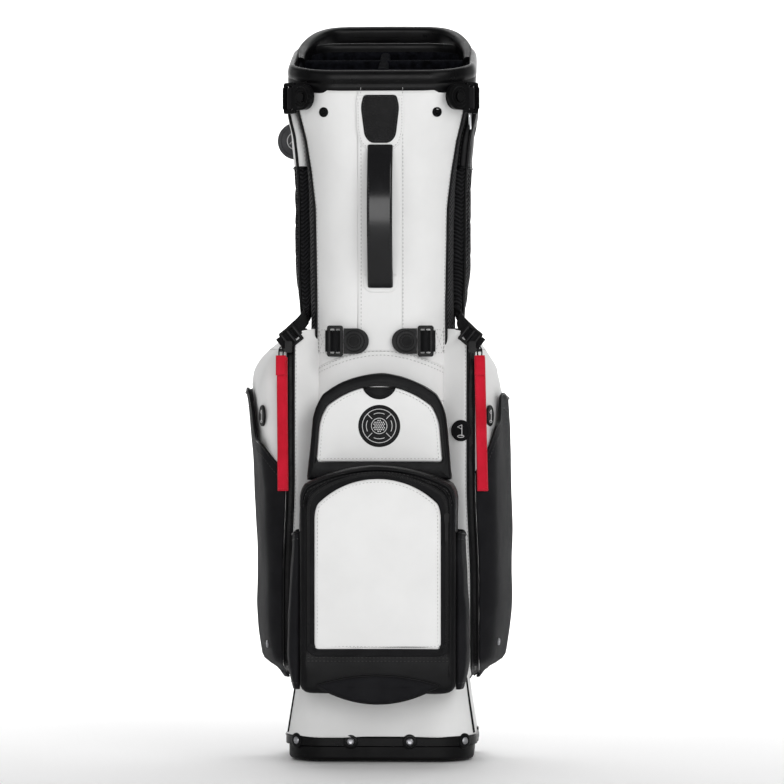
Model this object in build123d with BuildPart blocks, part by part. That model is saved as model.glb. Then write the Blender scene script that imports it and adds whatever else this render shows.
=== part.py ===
"""Golf stand bag: a soft tube bag with a moulded collar, front and side pockets, twin shoulder
straps and two folding legs that a hinged foot pushes out.

Millimetres. X runs across the bag, -Y is the pocket side, +Y is the leg side and +Z is up.
The origin is on the ground, under the middle of the foot.
"""
import os
from math import cos, radians, sin, tan

from build123d import *

os.makedirs("parts", exist_ok=True)

# ---------------------------------------------------------------- driving dimensions
SIDES = ((-1, "left"), (1, "right"))
GAP = 0.4  # clearance between pieces that move past each other
WALL = 3.0  # sewn panel with its foam backing

# Tube of the bag: height, half width, front, back, corner radius
TUBE = (
    (31, 115, -96, 93, 48),
    (110, 104, -93, 88, 50),
    (300, 90, -90, 84, 52),
    (560, 86, -88, 83, 54),
    (700, 88, -91, 86, 56),
    (760, 94, -95, 91, 57),
    (800, 104, -100, 96, 59),
    (880, 110, -103, 101, 60),
)
TUBE_BACK = 40  # where the flanks end and the back panel starts
APRON_TOP = 110

# Front panel edge: height, half width
FRONT_EDGE = ((110, 79), (560, 79), (677, 81), (721, 86), (759, 92), (796, 101), (850, 108))

# Collar, on a plane that rises towards the back
COLLAR_SLOPE = 14.4
COLLAR_MID_HEIGHT = 868
COLLAR_WIDTH = 231
COLLAR_DEPTH = 216.8
COLLAR_CORNER = 62
COLLAR_TALL = 28
COLLAR_WALL = 9
COLLAR_TOP = Plane(
    origin=(0, 0, COLLAR_MID_HEIGHT),
    x_dir=(1, 0, 0),
    z_dir=(0, -sin(radians(COLLAR_SLOPE)), cos(radians(COLLAR_SLOPE))),
)
COLLAR_BOTTOM = COLLAR_TOP.offset(-COLLAR_TALL)

# Club dividers
BAR = 12
BAR_TALL = 24
BAR_DROP = 34  # from the collar's top plane to the bars' underside
FRONT_BAR_Y = -38
REAR_BAR_Y = 30
FRAME_WALL = 5

# Base, foot and foot hinge
FOOT_TOP = 20
CUP_BOTTOM = 20.4
RIM_TOP = 31
FLOOR_LOW = 36
FLOOR_TOP = 40
FOOT_SIZE = (227, 192)
CUP_SIZE = (235, 194)
CUP_SHOULDER = (220, 177)
CUP_ROOM = (216, 176)
BASE_CORNER = 48
HINGE_Y = 74
HINGE_Z = 12
HINGE_PIN = 3.0
RUNNING = 0.05
PIN_HALF = 84
RELIEF_START = 66  # the cup is cut back behind here, so that the foot can swing
RELIEF_REACH = 60
RELIEF_ANGLE = 27
LUG_X = 70
LUG_WIDE = 10
LUG_DEEP = 12
LUG_SLOT = (67.4, 88)  # front and back of the foot's slots for the cup's lugs

# Legs and push rods
LEG_X = 45
LEG_Y = 120
LEG_PIVOT_Z = 800
LEG_AZIMUTH = 28
LEG_RADIUS = 7.5
LEG_BORE = 6.3
LEG_BOTTOM = 160
EYE_RADIUS = 9
EYE_WIDE = 12
ROD_RADIUS = 2.0
ROD_FOOT = (30, 113, 12)
ROD_BLOCK = (93, 119)  # front and back of the blocks that carry the rods' pins
ROD_BLOCK_WIDE = 20
ROD_BLOCK_TALL = (5, 18)
ROD_SLOT = (9, 16)
ROD_SIDE = 15  # rod beside its leg, along the leg's pivot axis
ROD_DROP = 100  # rod's upper end below the leg's pivot

# Side pockets: height, outer half width, front, back
SIDE_POCKET = (
    (106, 122, -62, 62),
    (124, 150, -80, 80),
    (300, 160, -86, 85),
    (452, 160, -86, 85),
    (498, 154, -84, 82),
    (513, 142, -80, 78),
    (525, 116, -68, 60),
)
ZIP_X = 110
ZIP_WIDE = 8

# Front pockets
BALL_FRONT = -180
BALL_HALF = 94
BALL_LOW = 90
BALL_SHOULDER = 337
BALL_CROWN = 362
DOOR_HALF = 79
DOOR_LOW = 143
DOOR_HIGH = 349
DOOR_CORNER = 42
DOOR_THICK = 4
BALL_ZIP = 7
VALUABLES_FRONT = -125
VALUABLES_HALF = 86
VALUABLES_TOP = 473
FLAP_HALF = 76
FLAP_LOW = 367
FLAP_TOP = 458

# Ribbons and clips
RIBBON_X = 121
RIBBON_Y = -93
CLIP_TALL = 38
BUTTON_RADIUS = 6


def save(builder, name):
    """Label a finished piece and write it."""
    builder.part.label = name
    export_step(builder.part, f"parts/{name}.step")


def tube_form(growth):
    """Solid outer form of the tube, grown outwards by a given thickness."""
    with BuildPart(mode=Mode.PRIVATE) as form:
        for height, half_width, front, back, corner in TUBE:
            with BuildSketch(Plane.XY.offset(height)):
                with Locations((0, (front + back) / 2)):
                    RectangleRounded(
                        2 * (half_width + growth), back - front + 2 * growth, corner + growth
                    )
        loft(ruled=True)
    return form.part


def side_pocket_form(side, growth):
    """Solid outer form of one side pocket, grown by a given thickness."""
    with BuildPart(mode=Mode.PRIVATE) as form:
        for height, half_width, front, back in SIDE_POCKET:
            outer = half_width + growth
            near = front - growth
            far = back + growth
            outline = (
                (55, -45),
                (78, near + 20),
                (106, near + 2),
                (outer - 24 if outer > 132 else 108.5, near + 3),
                (outer - 7, near + 22),
                (outer, near + 50),
                (outer, far - 48),
                (outer - 8, far - 18),
                (outer - 30 if outer > 132 else 104, far),
                (84, far),
                (55, 45),
            )
            with BuildSketch(Plane.XY.offset(height + (growth if height > 500 else 0))):
                with BuildLine():
                    Polyline([(side * x, y) for x, y in outline], close=True)
                make_face()
        loft(ruled=True)
    return form.part


def front_block(points, depth_from, depth_to):
    """Prism over a closed outline in the front view, between two depths (both behind zero)."""
    with BuildPart(mode=Mode.PRIVATE) as block:
        with BuildSketch(Plane.XZ.offset(-depth_from)):
            with BuildLine():
                Polyline(points, close=True)
            make_face()
        extrude(amount=depth_from - depth_to)
    return block.part


def box_between(low, high):
    """Plain box between two corners."""
    size = [b - a for a, b in zip(low, high)]
    centre = [(a + b) / 2 for a, b in zip(low, high)]
    return Pos(*centre) * Box(*size, mode=Mode.PRIVATE)


def mirror_outline(right_side):
    """Closed outline from its right half, listed from the bottom up."""
    return list(right_side) + [(-x, z) for x, z in reversed(right_side)]


OUTER = tube_form(0)
INNER = tube_form(-WALL)
SKIN_3 = tube_form(3)
SKIN_2 = tube_form(2)
POCKET_OUTER = {side: side_pocket_form(side, 0) for side, word in SIDES}
POCKET_INNER = {side: side_pocket_form(side, -WALL) for side, word in SIDES}

# ---------------------------------------------------------------- base and hinged foot
with BuildPart() as relief:
    with BuildSketch(Plane.YZ.offset(-150)):
        with BuildLine():
            Polyline(
                (RELIEF_START, 0),
                (RELIEF_START, CUP_BOTTOM),
                (RELIEF_START + RELIEF_REACH, CUP_BOTTOM + RELIEF_REACH * tan(radians(RELIEF_ANGLE))),
                (RELIEF_START + RELIEF_REACH, 0),
                close=True,
            )
        make_face()
    extrude(amount=300)

with BuildPart() as base_cup:
    with BuildSketch(Plane.XY.offset(CUP_BOTTOM)):
        RectangleRounded(*CUP_SIZE, BASE_CORNER + 2)
    extrude(amount=RIM_TOP - CUP_BOTTOM)
    with BuildSketch(Plane.XY.offset(RIM_TOP)):
        with Locations((0, -0.5)):
            RectangleRounded(*CUP_SHOULDER, BASE_CORNER - 2)
    extrude(amount=FLOOR_TOP - RIM_TOP)
    with BuildSketch(Plane.XY.offset(CUP_BOTTOM)):
        RectangleRounded(*CUP_ROOM, BASE_CORNER - 6)
    extrude(amount=FLOOR_LOW - CUP_BOTTOM, mode=Mode.SUBTRACT)
    add(relief.part, mode=Mode.SUBTRACT)
    for side, word in SIDES:
        with BuildSketch(Plane.YZ.offset(side * LUG_X - LUG_WIDE / 2)):
            with Locations((HINGE_Y, HINGE_Z)):
                Circle(LUG_DEEP / 2)
            with Locations((HINGE_Y, (HINGE_Z + FLOOR_LOW) / 2)):
                Rectangle(LUG_DEEP, FLOOR_LOW - HINGE_Z)
        extrude(amount=LUG_WIDE)
        with BuildSketch(Plane.YZ.offset(side * LUG_X - LUG_WIDE / 2)):
            with Locations((HINGE_Y, HINGE_Z)):
                Circle(HINGE_PIN + RUNNING)
        extrude(amount=LUG_WIDE, mode=Mode.SUBTRACT)
save(base_cup, "base_cup")

RIVET_RADIUS = 4.5
RIVET_PROUD = 1.6
RIVET_Z = 25.7
corner_x = CUP_SIZE[0] / 2 - (BASE_CORNER + 2) * (1 - sin(radians(45)))
corner_y = CUP_SIZE[1] / 2 - (BASE_CORNER + 2) * (1 - sin(radians(45)))
rivet_spots = (
    (-36, -CUP_SIZE[1] / 2, 0, -1),
    (36, -CUP_SIZE[1] / 2, 0, -1),
    (-corner_x, -corner_y, -1, -1),
    (corner_x, -corner_y, 1, -1),
    (-CUP_SIZE[0] / 2, 10, -1, 0),
    (CUP_SIZE[0] / 2, 10, 1, 0),
)
with BuildPart() as base_rivets:
    for x, y, out_x, out_y in rivet_spots:
        with BuildSketch(Plane(origin=(x, y, RIVET_Z), z_dir=(out_x, out_y, 0))):
            Circle(RIVET_RADIUS)
        extrude(amount=RIVET_PROUD)
save(base_rivets, "base_rivets")

with BuildPart() as base_foot:
    with BuildSketch(Plane.XY.offset(2)):
        RectangleRounded(*FOOT_SIZE, BASE_CORNER)
    extrude(amount=FOOT_TOP - 2)
    fillet(base_foot.edges().group_by(Axis.Z)[0], 5)
    fillet(base_foot.edges().group_by(Axis.Z)[-1], 2)
    with BuildSketch(Plane.XY.offset(FOOT_TOP)):
        with Locations([(side * LUG_X, sum(LUG_SLOT) / 2) for side, word in SIDES]):
            Rectangle(LUG_WIDE + 1, LUG_SLOT[1] - LUG_SLOT[0])
    extrude(amount=-FOOT_TOP, mode=Mode.SUBTRACT)
    for side, word in SIDES:
        with BuildSketch(Plane.XY.offset(ROD_BLOCK_TALL[0])):
            with Locations((side * ROD_FOOT[0], sum(ROD_BLOCK) / 2)):
                Rectangle(ROD_BLOCK_WIDE, ROD_BLOCK[1] - ROD_BLOCK[0])
        extrude(amount=ROD_BLOCK_TALL[1] - ROD_BLOCK_TALL[0])
        with BuildSketch(Plane.XY.offset(2)):
            with Locations((side * ROD_FOOT[0], ROD_FOOT[1])):
                Rectangle(*ROD_SLOT)
        extrude(amount=FOOT_TOP, mode=Mode.SUBTRACT)
        with BuildSketch(Plane.YZ.offset(side * ROD_FOOT[0] - ROD_BLOCK_WIDE / 2 + 1)):
            with Locations(ROD_FOOT[1:]):
                Circle(ROD_RADIUS)
        extrude(amount=ROD_BLOCK_WIDE - 2)
    with BuildSketch(Plane.YZ.offset(-PIN_HALF)):
        with Locations((HINGE_Y, HINGE_Z)):
            Circle(HINGE_PIN)
    extrude(amount=2 * PIN_HALF, mode=Mode.SUBTRACT)
save(base_foot, "base_foot")

PAD_RADIUS = 16
with BuildPart() as foot_pads:
    with BuildSketch():
        Circle(PAD_RADIUS)
        with GridLocations(150, 116, 2, 2):
            Circle(PAD_RADIUS)
    extrude(amount=2)
save(foot_pads, "foot_pads")

with BuildPart() as foot_hinge_pin:
    with BuildSketch(Plane.YZ.offset(-PIN_HALF)):
        with Locations((HINGE_Y, HINGE_Z)):
            Circle(HINGE_PIN)
    extrude(amount=2 * PIN_HALF)
save(foot_hinge_pin, "foot_hinge_pin")

# ---------------------------------------------------------------- tube panels
FRONT_ZONE = front_block(
    mirror_outline([(half, height) for height, half in FRONT_EDGE]), 0, -140
)
with BuildPart() as shell:
    add(OUTER)
    add(INNER, mode=Mode.SUBTRACT)
    split(bisect_by=COLLAR_BOTTOM, keep=Keep.BOTTOM)
SHELL = shell.part

with BuildPart() as lower_front_apron:
    add(SHELL)
    add(box_between((-150, -150, RIM_TOP), (150, TUBE_BACK, APRON_TOP)), mode=Mode.INTERSECT)
save(lower_front_apron, "lower_front_apron")

with BuildPart() as lower_back_panel:
    add(SHELL)
    add(box_between((-150, TUBE_BACK, RIM_TOP), (150, 150, APRON_TOP)), mode=Mode.INTERSECT)
    add(relief.part, mode=Mode.SUBTRACT)
save(lower_back_panel, "lower_back_panel")

with BuildPart() as front_panel:
    add(SHELL)
    add(FRONT_ZONE, mode=Mode.INTERSECT)
save(front_panel, "front_panel")

with BuildPart() as flank_panels:
    add(SHELL)
    add(box_between((-150, -150, APRON_TOP), (150, TUBE_BACK, 900)), mode=Mode.INTERSECT)
    add(FRONT_ZONE, mode=Mode.SUBTRACT)
save(flank_panels, "flank_panels")

with BuildPart() as back_panel:
    add(SHELL)
    add(box_between((-150, TUBE_BACK, APRON_TOP), (150, 150, 900)), mode=Mode.INTERSECT)
save(back_panel, "back_panel")

# ---------------------------------------------------------------- inside the tube
STAY_RADIUS = 4
STAY_TOP = 805
BOTTOM_PAD_TOP = 44
with BuildPart() as bottom_pad:
    add(INNER)
    add(
        box_between((-150, -150, FLOOR_TOP), (150, 150, BOTTOM_PAD_TOP)),
        mode=Mode.INTERSECT,
    )
save(bottom_pad, "bottom_pad")

with BuildPart() as stays:
    with BuildSketch(Plane.XY.offset(BOTTOM_PAD_TOP)):
        with Locations((-62, -62), (62, -62), (-62, 58), (62, 58)):
            Circle(STAY_RADIUS)
    extrude(amount=STAY_TOP - BOTTOM_PAD_TOP)
save(stays, "stays")

DIVIDER_CLOTH = 2
bar_reach = BAR_DROP * sin(radians(COLLAR_SLOPE))
cloth_spots = [(0, y * cos(radians(COLLAR_SLOPE)) + bar_reach) for y in (FRONT_BAR_Y, REAR_BAR_Y)]
with BuildPart() as long_dividers:
    with BuildSketch(Plane.XY.offset(BOTTOM_PAD_TOP)):
        with Locations(cloth_spots):
            Rectangle(300, DIVIDER_CLOTH)
    extrude(amount=900)
    add(INNER, mode=Mode.INTERSECT)
    split(bisect_by=COLLAR_TOP.offset(-BAR_DROP), keep=Keep.BOTTOM)
save(long_dividers, "long_dividers")

FRAME_OUTER = (COLLAR_WIDTH - 2 * COLLAR_WALL, COLLAR_DEPTH - 2 * COLLAR_WALL)
FRAME_CORNER = COLLAR_CORNER - COLLAR_WALL
with BuildPart() as divider_grid:
    with BuildSketch(COLLAR_TOP.offset(-BAR_DROP + 8)):
        RectangleRounded(*FRAME_OUTER, FRAME_CORNER)
        RectangleRounded(
            FRAME_OUTER[0] - 2 * FRAME_WALL,
            FRAME_OUTER[1] - 2 * FRAME_WALL,
            FRAME_CORNER - FRAME_WALL,
            mode=Mode.SUBTRACT,
        )
    extrude(amount=BAR_TALL - 8)
    with BuildSketch(COLLAR_TOP.offset(-BAR_DROP)):
        with Locations((0, FRONT_BAR_Y), (0, REAR_BAR_Y)):
            Rectangle(FRAME_OUTER[0] - FRAME_WALL, BAR)
        with Locations((0, (FRONT_BAR_Y + FRAME_OUTER[1] / 2 - 2) / 2)):
            Rectangle(BAR, FRAME_OUTER[1] / 2 - 2 - FRONT_BAR_Y)
    extrude(amount=BAR_TALL)
    with BuildSketch(COLLAR_TOP.offset(-BAR_DROP)):
        Rectangle(400, 400)
        RectangleRounded(*FRAME_OUTER, FRAME_CORNER, mode=Mode.SUBTRACT)
    extrude(amount=BAR_TALL, mode=Mode.SUBTRACT)
    add(SHELL, mode=Mode.SUBTRACT)
save(divider_grid, "divider_grid")

# ---------------------------------------------------------------- collar and rear grab handle
with BuildPart() as collar_ring:
    with BuildSketch(COLLAR_BOTTOM):
        RectangleRounded(COLLAR_WIDTH, COLLAR_DEPTH, COLLAR_CORNER)
        RectangleRounded(*FRAME_OUTER, FRAME_CORNER, mode=Mode.SUBTRACT)
    extrude(amount=COLLAR_TALL)
    rim = collar_ring.edges().filter_by(
        lambda edge: abs(COLLAR_TOP.to_local_coords(edge.center()).Z) < 0.01
    )
    fillet(rim, 4)
save(collar_ring, "collar_ring")

HANDLE_LOW = -6
HANDLE_TALL = 17
HANDLE_BACK = 144
HANDLE_FRONT = 88
HANDLE_HALF = 90
HANDLE_THICK = 16
with BuildPart() as rear_grab_handle:
    with BuildSketch(COLLAR_TOP.offset(HANDLE_LOW)):
        with Locations((0, (HANDLE_BACK + 20) / 2)):
            RectangleRounded(2 * HANDLE_HALF, HANDLE_BACK - 20, 34)
        with Locations((0, (HANDLE_BACK + 4) / 2)):
            RectangleRounded(
                2 * (HANDLE_HALF - HANDLE_THICK),
                HANDLE_BACK - 36,
                22,
                mode=Mode.SUBTRACT,
            )
        with Locations((0, HANDLE_FRONT - 100)):
            Rectangle(400, 200, mode=Mode.SUBTRACT)
    extrude(amount=HANDLE_TALL)
    back_edges = rear_grab_handle.edges().filter_by(
        lambda edge: COLLAR_TOP.to_local_coords(edge.center()).Z > HANDLE_LOW + HANDLE_TALL - 0.01
    )
    fillet(back_edges.filter_by(GeomType.LINE, reverse=True), 3)
    add(collar_ring.part, mode=Mode.SUBTRACT)
save(rear_grab_handle, "rear_grab_handle")

# ---------------------------------------------------------------- spine patch and carry handle
PATCH = ((12, 754), (19, 762), (23.5, 798), (20, 812))
TAB = ((14, 745), (24, 752), (29, 770), (29, 812))
with BuildPart() as spine_patch:
    add(front_block(mirror_outline(PATCH), 0, -140))
    add(tube_form(4), mode=Mode.INTERSECT)
    add(SKIN_3, mode=Mode.SUBTRACT)
save(spine_patch, "spine_patch")

with BuildPart() as handle_tabs:
    add(front_block(mirror_outline(TAB), 0, -140))
    add(front_block(mirror_outline(((18, 575), (18, 592))), 0, -140))
    add(SKIN_3, mode=Mode.INTERSECT)
    add(OUTER, mode=Mode.SUBTRACT)
save(handle_tabs, "handle_tabs")

GRIP_HALF = 17
GRIP_TOP = 748
GRIP_LOW = 582
GRIP_MID = (GRIP_TOP + GRIP_LOW) / 2
GRIP_OUT = (-100, -124, -93)  # depth of the outer face at the top, middle and foot
GRIP_IN = (-92, -115, -86)
with BuildPart() as spine_handle_grip:
    with BuildSketch(Plane.YZ.offset(-GRIP_HALF)):
        with BuildLine():
            outer_arc = ThreePointArc(*zip(GRIP_OUT, (GRIP_TOP, GRIP_MID, GRIP_LOW)))
            inner_arc = ThreePointArc(*zip(GRIP_IN, (GRIP_TOP, GRIP_MID, GRIP_LOW)))
            Line(outer_arc @ 0, inner_arc @ 0)
            Line(outer_arc @ 1, inner_arc @ 1)
        make_face()
    extrude(amount=2 * GRIP_HALF)
    add(SKIN_3, mode=Mode.SUBTRACT)
save(spine_handle_grip, "spine_handle_grip")

STUD_RADIUS = 5.5
with BuildPart() as snap_studs:
    with BuildSketch(Plane.XZ):
        with Locations((-69, 792), (69, 792)):
            Circle(STUD_RADIUS)
    extrude(amount=140)
    add(SKIN_2, mode=Mode.INTERSECT)
    add(OUTER, mode=Mode.SUBTRACT)
save(snap_studs, "snap_studs")

# ---------------------------------------------------------------- side pockets
GUSSET_BACK = -40
ZIP_IN = ZIP_X - ZIP_WIDE / 2
ZIP_OUT = ZIP_X + ZIP_WIDE / 2


def side_box(side, near_x, far_x, low, high):
    """Box on one side of the bag, from near_x to far_x out from the middle."""
    xs = sorted((side * near_x, side * far_x))
    return box_between((xs[0], low[0], low[1]), (xs[1], high[0], high[1]))


def pocket_shell(side):
    """Sewn shell of one side pocket, open towards the tube."""
    with BuildPart(mode=Mode.PRIVATE) as sewn:
        add(POCKET_OUTER[side])
        add(POCKET_INNER[side], mode=Mode.SUBTRACT)
        add(OUTER, mode=Mode.SUBTRACT)
    return sewn.part


SEWN = {side: pocket_shell(side) for side, word in SIDES}
GUSSET_ZONE = {
    side: side_box(side, 40, ZIP_IN, (-120, 90), (GUSSET_BACK, 540)) for side, word in SIDES
}
TRACK_ZONE = {
    side: side_box(side, ZIP_IN, ZIP_OUT, (-120, 90), (GUSSET_BACK, 540)) for side, word in SIDES
}
with BuildPart() as pocket_gussets:
    for side, word in SIDES:
        add(SEWN[side] & GUSSET_ZONE[side])
save(pocket_gussets, "pocket_gussets")

with BuildPart() as side_zip_tracks:
    for side, word in SIDES:
        add(SEWN[side] & TRACK_ZONE[side])
save(side_zip_tracks, "side_zip_tracks")

for side, word in SIDES:
    with BuildPart() as side_pocket:
        add(SEWN[side])
        add(GUSSET_ZONE[side], mode=Mode.SUBTRACT)
        add(TRACK_ZONE[side], mode=Mode.SUBTRACT)
    save(side_pocket, f"{word}_side_pocket")

# Stretch sleeve on the lower half of each side pocket, open at its top
SLEEVE_EDGE = ((126, 95), (126, 369), (140, 395), (166, 452), (200, 470), (200, 95))
SLEEVE_GAP = 5
SLEEVE_WALL = 2.5
with BuildPart() as side_pocket_sleeves:
    for side, word in SIDES:
        cut = front_block([(side * x, z) for x, z in SLEEVE_EDGE], 120, -120)
        sleeve = side_pocket_form(side, SLEEVE_GAP + SLEEVE_WALL) & cut
        room = side_pocket_form(side, SLEEVE_GAP)
        hem = side_box(side, SLEEVE_EDGE[0][0], 200, (-120, 95), (120, 122))
        add(sleeve - (room - hem) - POCKET_OUTER[side])
save(side_pocket_sleeves, "side_pocket_sleeves")

BADGE_SPOT = (156.5, -50, 423)
BADGE_RADIUS = 11.5
BADGE_PROUD = 1.6
with BuildPart() as pocket_badges:
    for side, word in SIDES:
        spot = (side * BADGE_SPOT[0], BADGE_SPOT[1], BADGE_SPOT[2])
        with BuildSketch(Plane(origin=spot, z_dir=(side * 28, -7, 0))):
            Circle(BADGE_RADIUS)
        extrude(amount=BADGE_PROUD)
save(pocket_badges, "pocket_badges")

# ---------------------------------------------------------------- front pockets
def arched(half, low, shoulder, crown, corner, depth_from, depth_to):
    """Upright block with rounded shoulders and a crowned top, between two depths."""
    with BuildPart(mode=Mode.PRIVATE) as block:
        with BuildSketch(Plane.XZ.offset(-depth_from)) as outline:
            with BuildLine():
                Polyline((-half, shoulder), (-half, low), (half, low), (half, shoulder))
                ThreePointArc((half, shoulder), (0, crown), (-half, shoulder))
            make_face()
            fillet(outline.vertices().group_by(Axis.Y)[-1], corner)
        extrude(amount=depth_from - depth_to)
    return block.part


PANEL_WALL = 3
BEHIND = -30  # pockets reach back to here before the tube is cut away from them
BALL_BLOCK = arched(BALL_HALF, BALL_LOW, BALL_SHOULDER, BALL_CROWN, 30, BEHIND, BALL_FRONT)
with BuildPart() as valuables_pocket_shell:
    add(arched(VALUABLES_HALF, 345, 448, VALUABLES_TOP, 46, BEHIND, VALUABLES_FRONT))
    add(
        arched(FLAP_HALF + 6, 349, 440, VALUABLES_TOP - 5, 42, BEHIND, VALUABLES_FRONT + PANEL_WALL),
        mode=Mode.SUBTRACT,
    )
    add(
        arched(FLAP_HALF + GAP, FLAP_LOW - GAP, 434, FLAP_TOP + GAP, 40, -90, VALUABLES_FRONT - 1),
        mode=Mode.SUBTRACT,
    )
    for neighbour in (OUTER, BALL_BLOCK, POCKET_OUTER[-1], POCKET_OUTER[1]):
        add(neighbour, mode=Mode.SUBTRACT)
save(valuables_pocket_shell, "valuables_pocket_shell")

with BuildPart() as valuables_flap:
    add(arched(FLAP_HALF, FLAP_LOW, 434, FLAP_TOP, 40, VALUABLES_FRONT + 2, VALUABLES_FRONT - 2))
save(valuables_flap, "valuables_flap")

with BuildPart() as flap_pull_tab:
    with BuildSketch(Plane.XZ.offset(-VALUABLES_FRONT + 2)):
        with BuildLine():
            top = Line((-20, 456), (20, 456))
            ThreePointArc(top @ 1, (0, 442), top @ 0)
        make_face()
    extrude(amount=3)
save(flap_pull_tab, "flap_pull_tab")

with BuildPart() as pocket_badge:
    with BuildSketch(Plane.XZ.offset(-VALUABLES_FRONT + 2)):
        with Locations((0, 410)):
            Circle(25.5)
    extrude(amount=2.5)
save(pocket_badge, "pocket_badge")

with BuildPart() as ball_pocket_shell:
    add(BALL_BLOCK)
    add(
        arched(
            BALL_HALF - 4,
            BALL_LOW + 4,
            BALL_SHOULDER - 3,
            BALL_CROWN - 4,
            26,
            BEHIND,
            BALL_FRONT + PANEL_WALL,
        ),
        mode=Mode.SUBTRACT,
    )
    add(
        arched(
            DOOR_HALF + BALL_ZIP,
            DOOR_LOW - GAP,
            DOOR_HIGH - DOOR_CORNER / 2,
            DOOR_HIGH + BALL_ZIP,
            DOOR_CORNER,
            -150,
            BALL_FRONT - 1,
        ),
        mode=Mode.SUBTRACT,
    )
    for neighbour in (OUTER, POCKET_OUTER[-1], POCKET_OUTER[1]):
        add(neighbour, mode=Mode.SUBTRACT)
save(ball_pocket_shell, "ball_pocket_shell")

with BuildPart() as ball_pocket_zip:
    add(
        arched(
            DOOR_HALF + BALL_ZIP,
            DOOR_LOW,
            DOOR_HIGH - DOOR_CORNER / 2,
            DOOR_HIGH + BALL_ZIP,
            DOOR_CORNER,
            BALL_FRONT + PANEL_WALL,
            BALL_FRONT,
        )
    )
    add(
        arched(
            DOOR_HALF + GAP,
            DOOR_LOW - GAP,
            DOOR_HIGH - DOOR_CORNER / 2 - BALL_ZIP,
            DOOR_HIGH + GAP,
            DOOR_CORNER - 5,
            -150,
            BALL_FRONT - 1,
        ),
        mode=Mode.SUBTRACT,
    )
save(ball_pocket_zip, "ball_pocket_zip")

with BuildPart() as ball_pocket_door:
    add(
        arched(
            DOOR_HALF,
            DOOR_LOW,
            DOOR_HIGH - DOOR_CORNER / 2 - BALL_ZIP,
            DOOR_HIGH,
            DOOR_CORNER - 5,
            BALL_FRONT + DOOR_THICK,
            BALL_FRONT,
        )
    )
save(ball_pocket_door, "ball_pocket_door")

SLIDER_TOP = 300
with BuildPart() as ball_pocket_slider:
    with BuildSketch(Plane.XZ.offset(-BALL_FRONT + GAP)):
        with Locations((DOOR_HALF + 3.5, SLIDER_TOP)):
            RectangleRounded(6, 12, 2)
        with Locations((DOOR_HALF + 3.5, SLIDER_TOP - 16)):
            RectangleRounded(4, 24, 1.5)
    extrude(amount=3)
save(ball_pocket_slider, "ball_pocket_slider")

with BuildPart() as under_pouch:
    with BuildSketch(Plane.XZ.offset(-BALL_FRONT)):
        with BuildLine():
            upper = ThreePointArc((-73, 100), (0, 112), (73, 100))
            ThreePointArc(upper @ 1, (0, 79), upper @ 0)
        make_face()
    extrude(amount=4)
save(under_pouch, "under_pouch")

# Stretch sleeves on the ball pocket's side walls, open at their top
BOTTLE_OUTLINE = ((94, 95), (106, 95), (113, 130), (117, 170), (115, 230), (109, 283), (94, 283))
BOTTLE_ROOM = ((94, 98), (103, 98), (110, 130), (114, 170), (112, 230), (106, 290), (94, 290))
BOTTLE_FRONT = -172
BOTTLE_BACK = -98
with BuildPart() as bottle_sleeves:
    for side, word in SIDES:
        outer = front_block([(side * x, z) for x, z in BOTTLE_OUTLINE], BOTTLE_BACK, BOTTLE_FRONT)
        room = front_block(
            [(side * x, z) for x, z in BOTTLE_ROOM], BOTTLE_BACK - WALL, BOTTLE_FRONT + WALL
        )
        add(outer - room)
save(bottle_sleeves, "bottle_sleeves")

# ---------------------------------------------------------------- strap clips
def clip_plane(side, level):
    """Plane of a strap clip: +x towards its ring, +z outwards, origin at the button."""
    if level == "lower":
        return Plane(origin=(side * 32, -89.5, 513), x_dir=(side, 0, 0), z_dir=(0, -1, 0))
    turn = sin(radians(45))
    return Plane(
        origin=(side * 92.4, -92.5, 810), x_dir=(side * turn, turn, 0), z_dir=(side * turn, -turn, 0)
    )


CLIPS = [(side, word, level) for side, word in SIDES for level in ("lower", "upper")]
TAB_THICK = 6
RING_IN = 13.5
RING_OUT = 33
with BuildPart() as clip_hardware:
    for side, word, level in CLIPS:
        seat = clip_plane(side, level)
        with BuildSketch(seat):
            with Locations((-2.5, 0)):
                Circle(15.5)
            with Locations((5, 0)):
                Rectangle(15, 31)
        extrude(amount=TAB_THICK)
        with BuildSketch(seat.offset(1)):
            with Locations(((RING_IN + RING_OUT) / 2, 0)):
                RectangleRounded(RING_OUT - RING_IN, CLIP_TALL, 3)
            with Locations((RING_IN + 6, 0), (RING_OUT - 6.5, 0)):
                RectangleRounded(5, CLIP_TALL - 8, 1, mode=Mode.SUBTRACT)
        extrude(amount=4)
        with BuildSketch(seat.offset(TAB_THICK)):
            Circle(BUTTON_RADIUS + GAP)
        extrude(amount=-4.5, mode=Mode.SUBTRACT)
    add(collar_ring.part, mode=Mode.SUBTRACT)
save(clip_hardware, "clip_hardware")

for side, word, level in CLIPS:
    with BuildPart() as clip_button:
        with BuildSketch(clip_plane(side, level).offset(TAB_THICK - 2)):
            Circle(BUTTON_RADIUS)
        extrude(amount=4)
    save(clip_button, f"{word}_{level}_clip_button")

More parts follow.
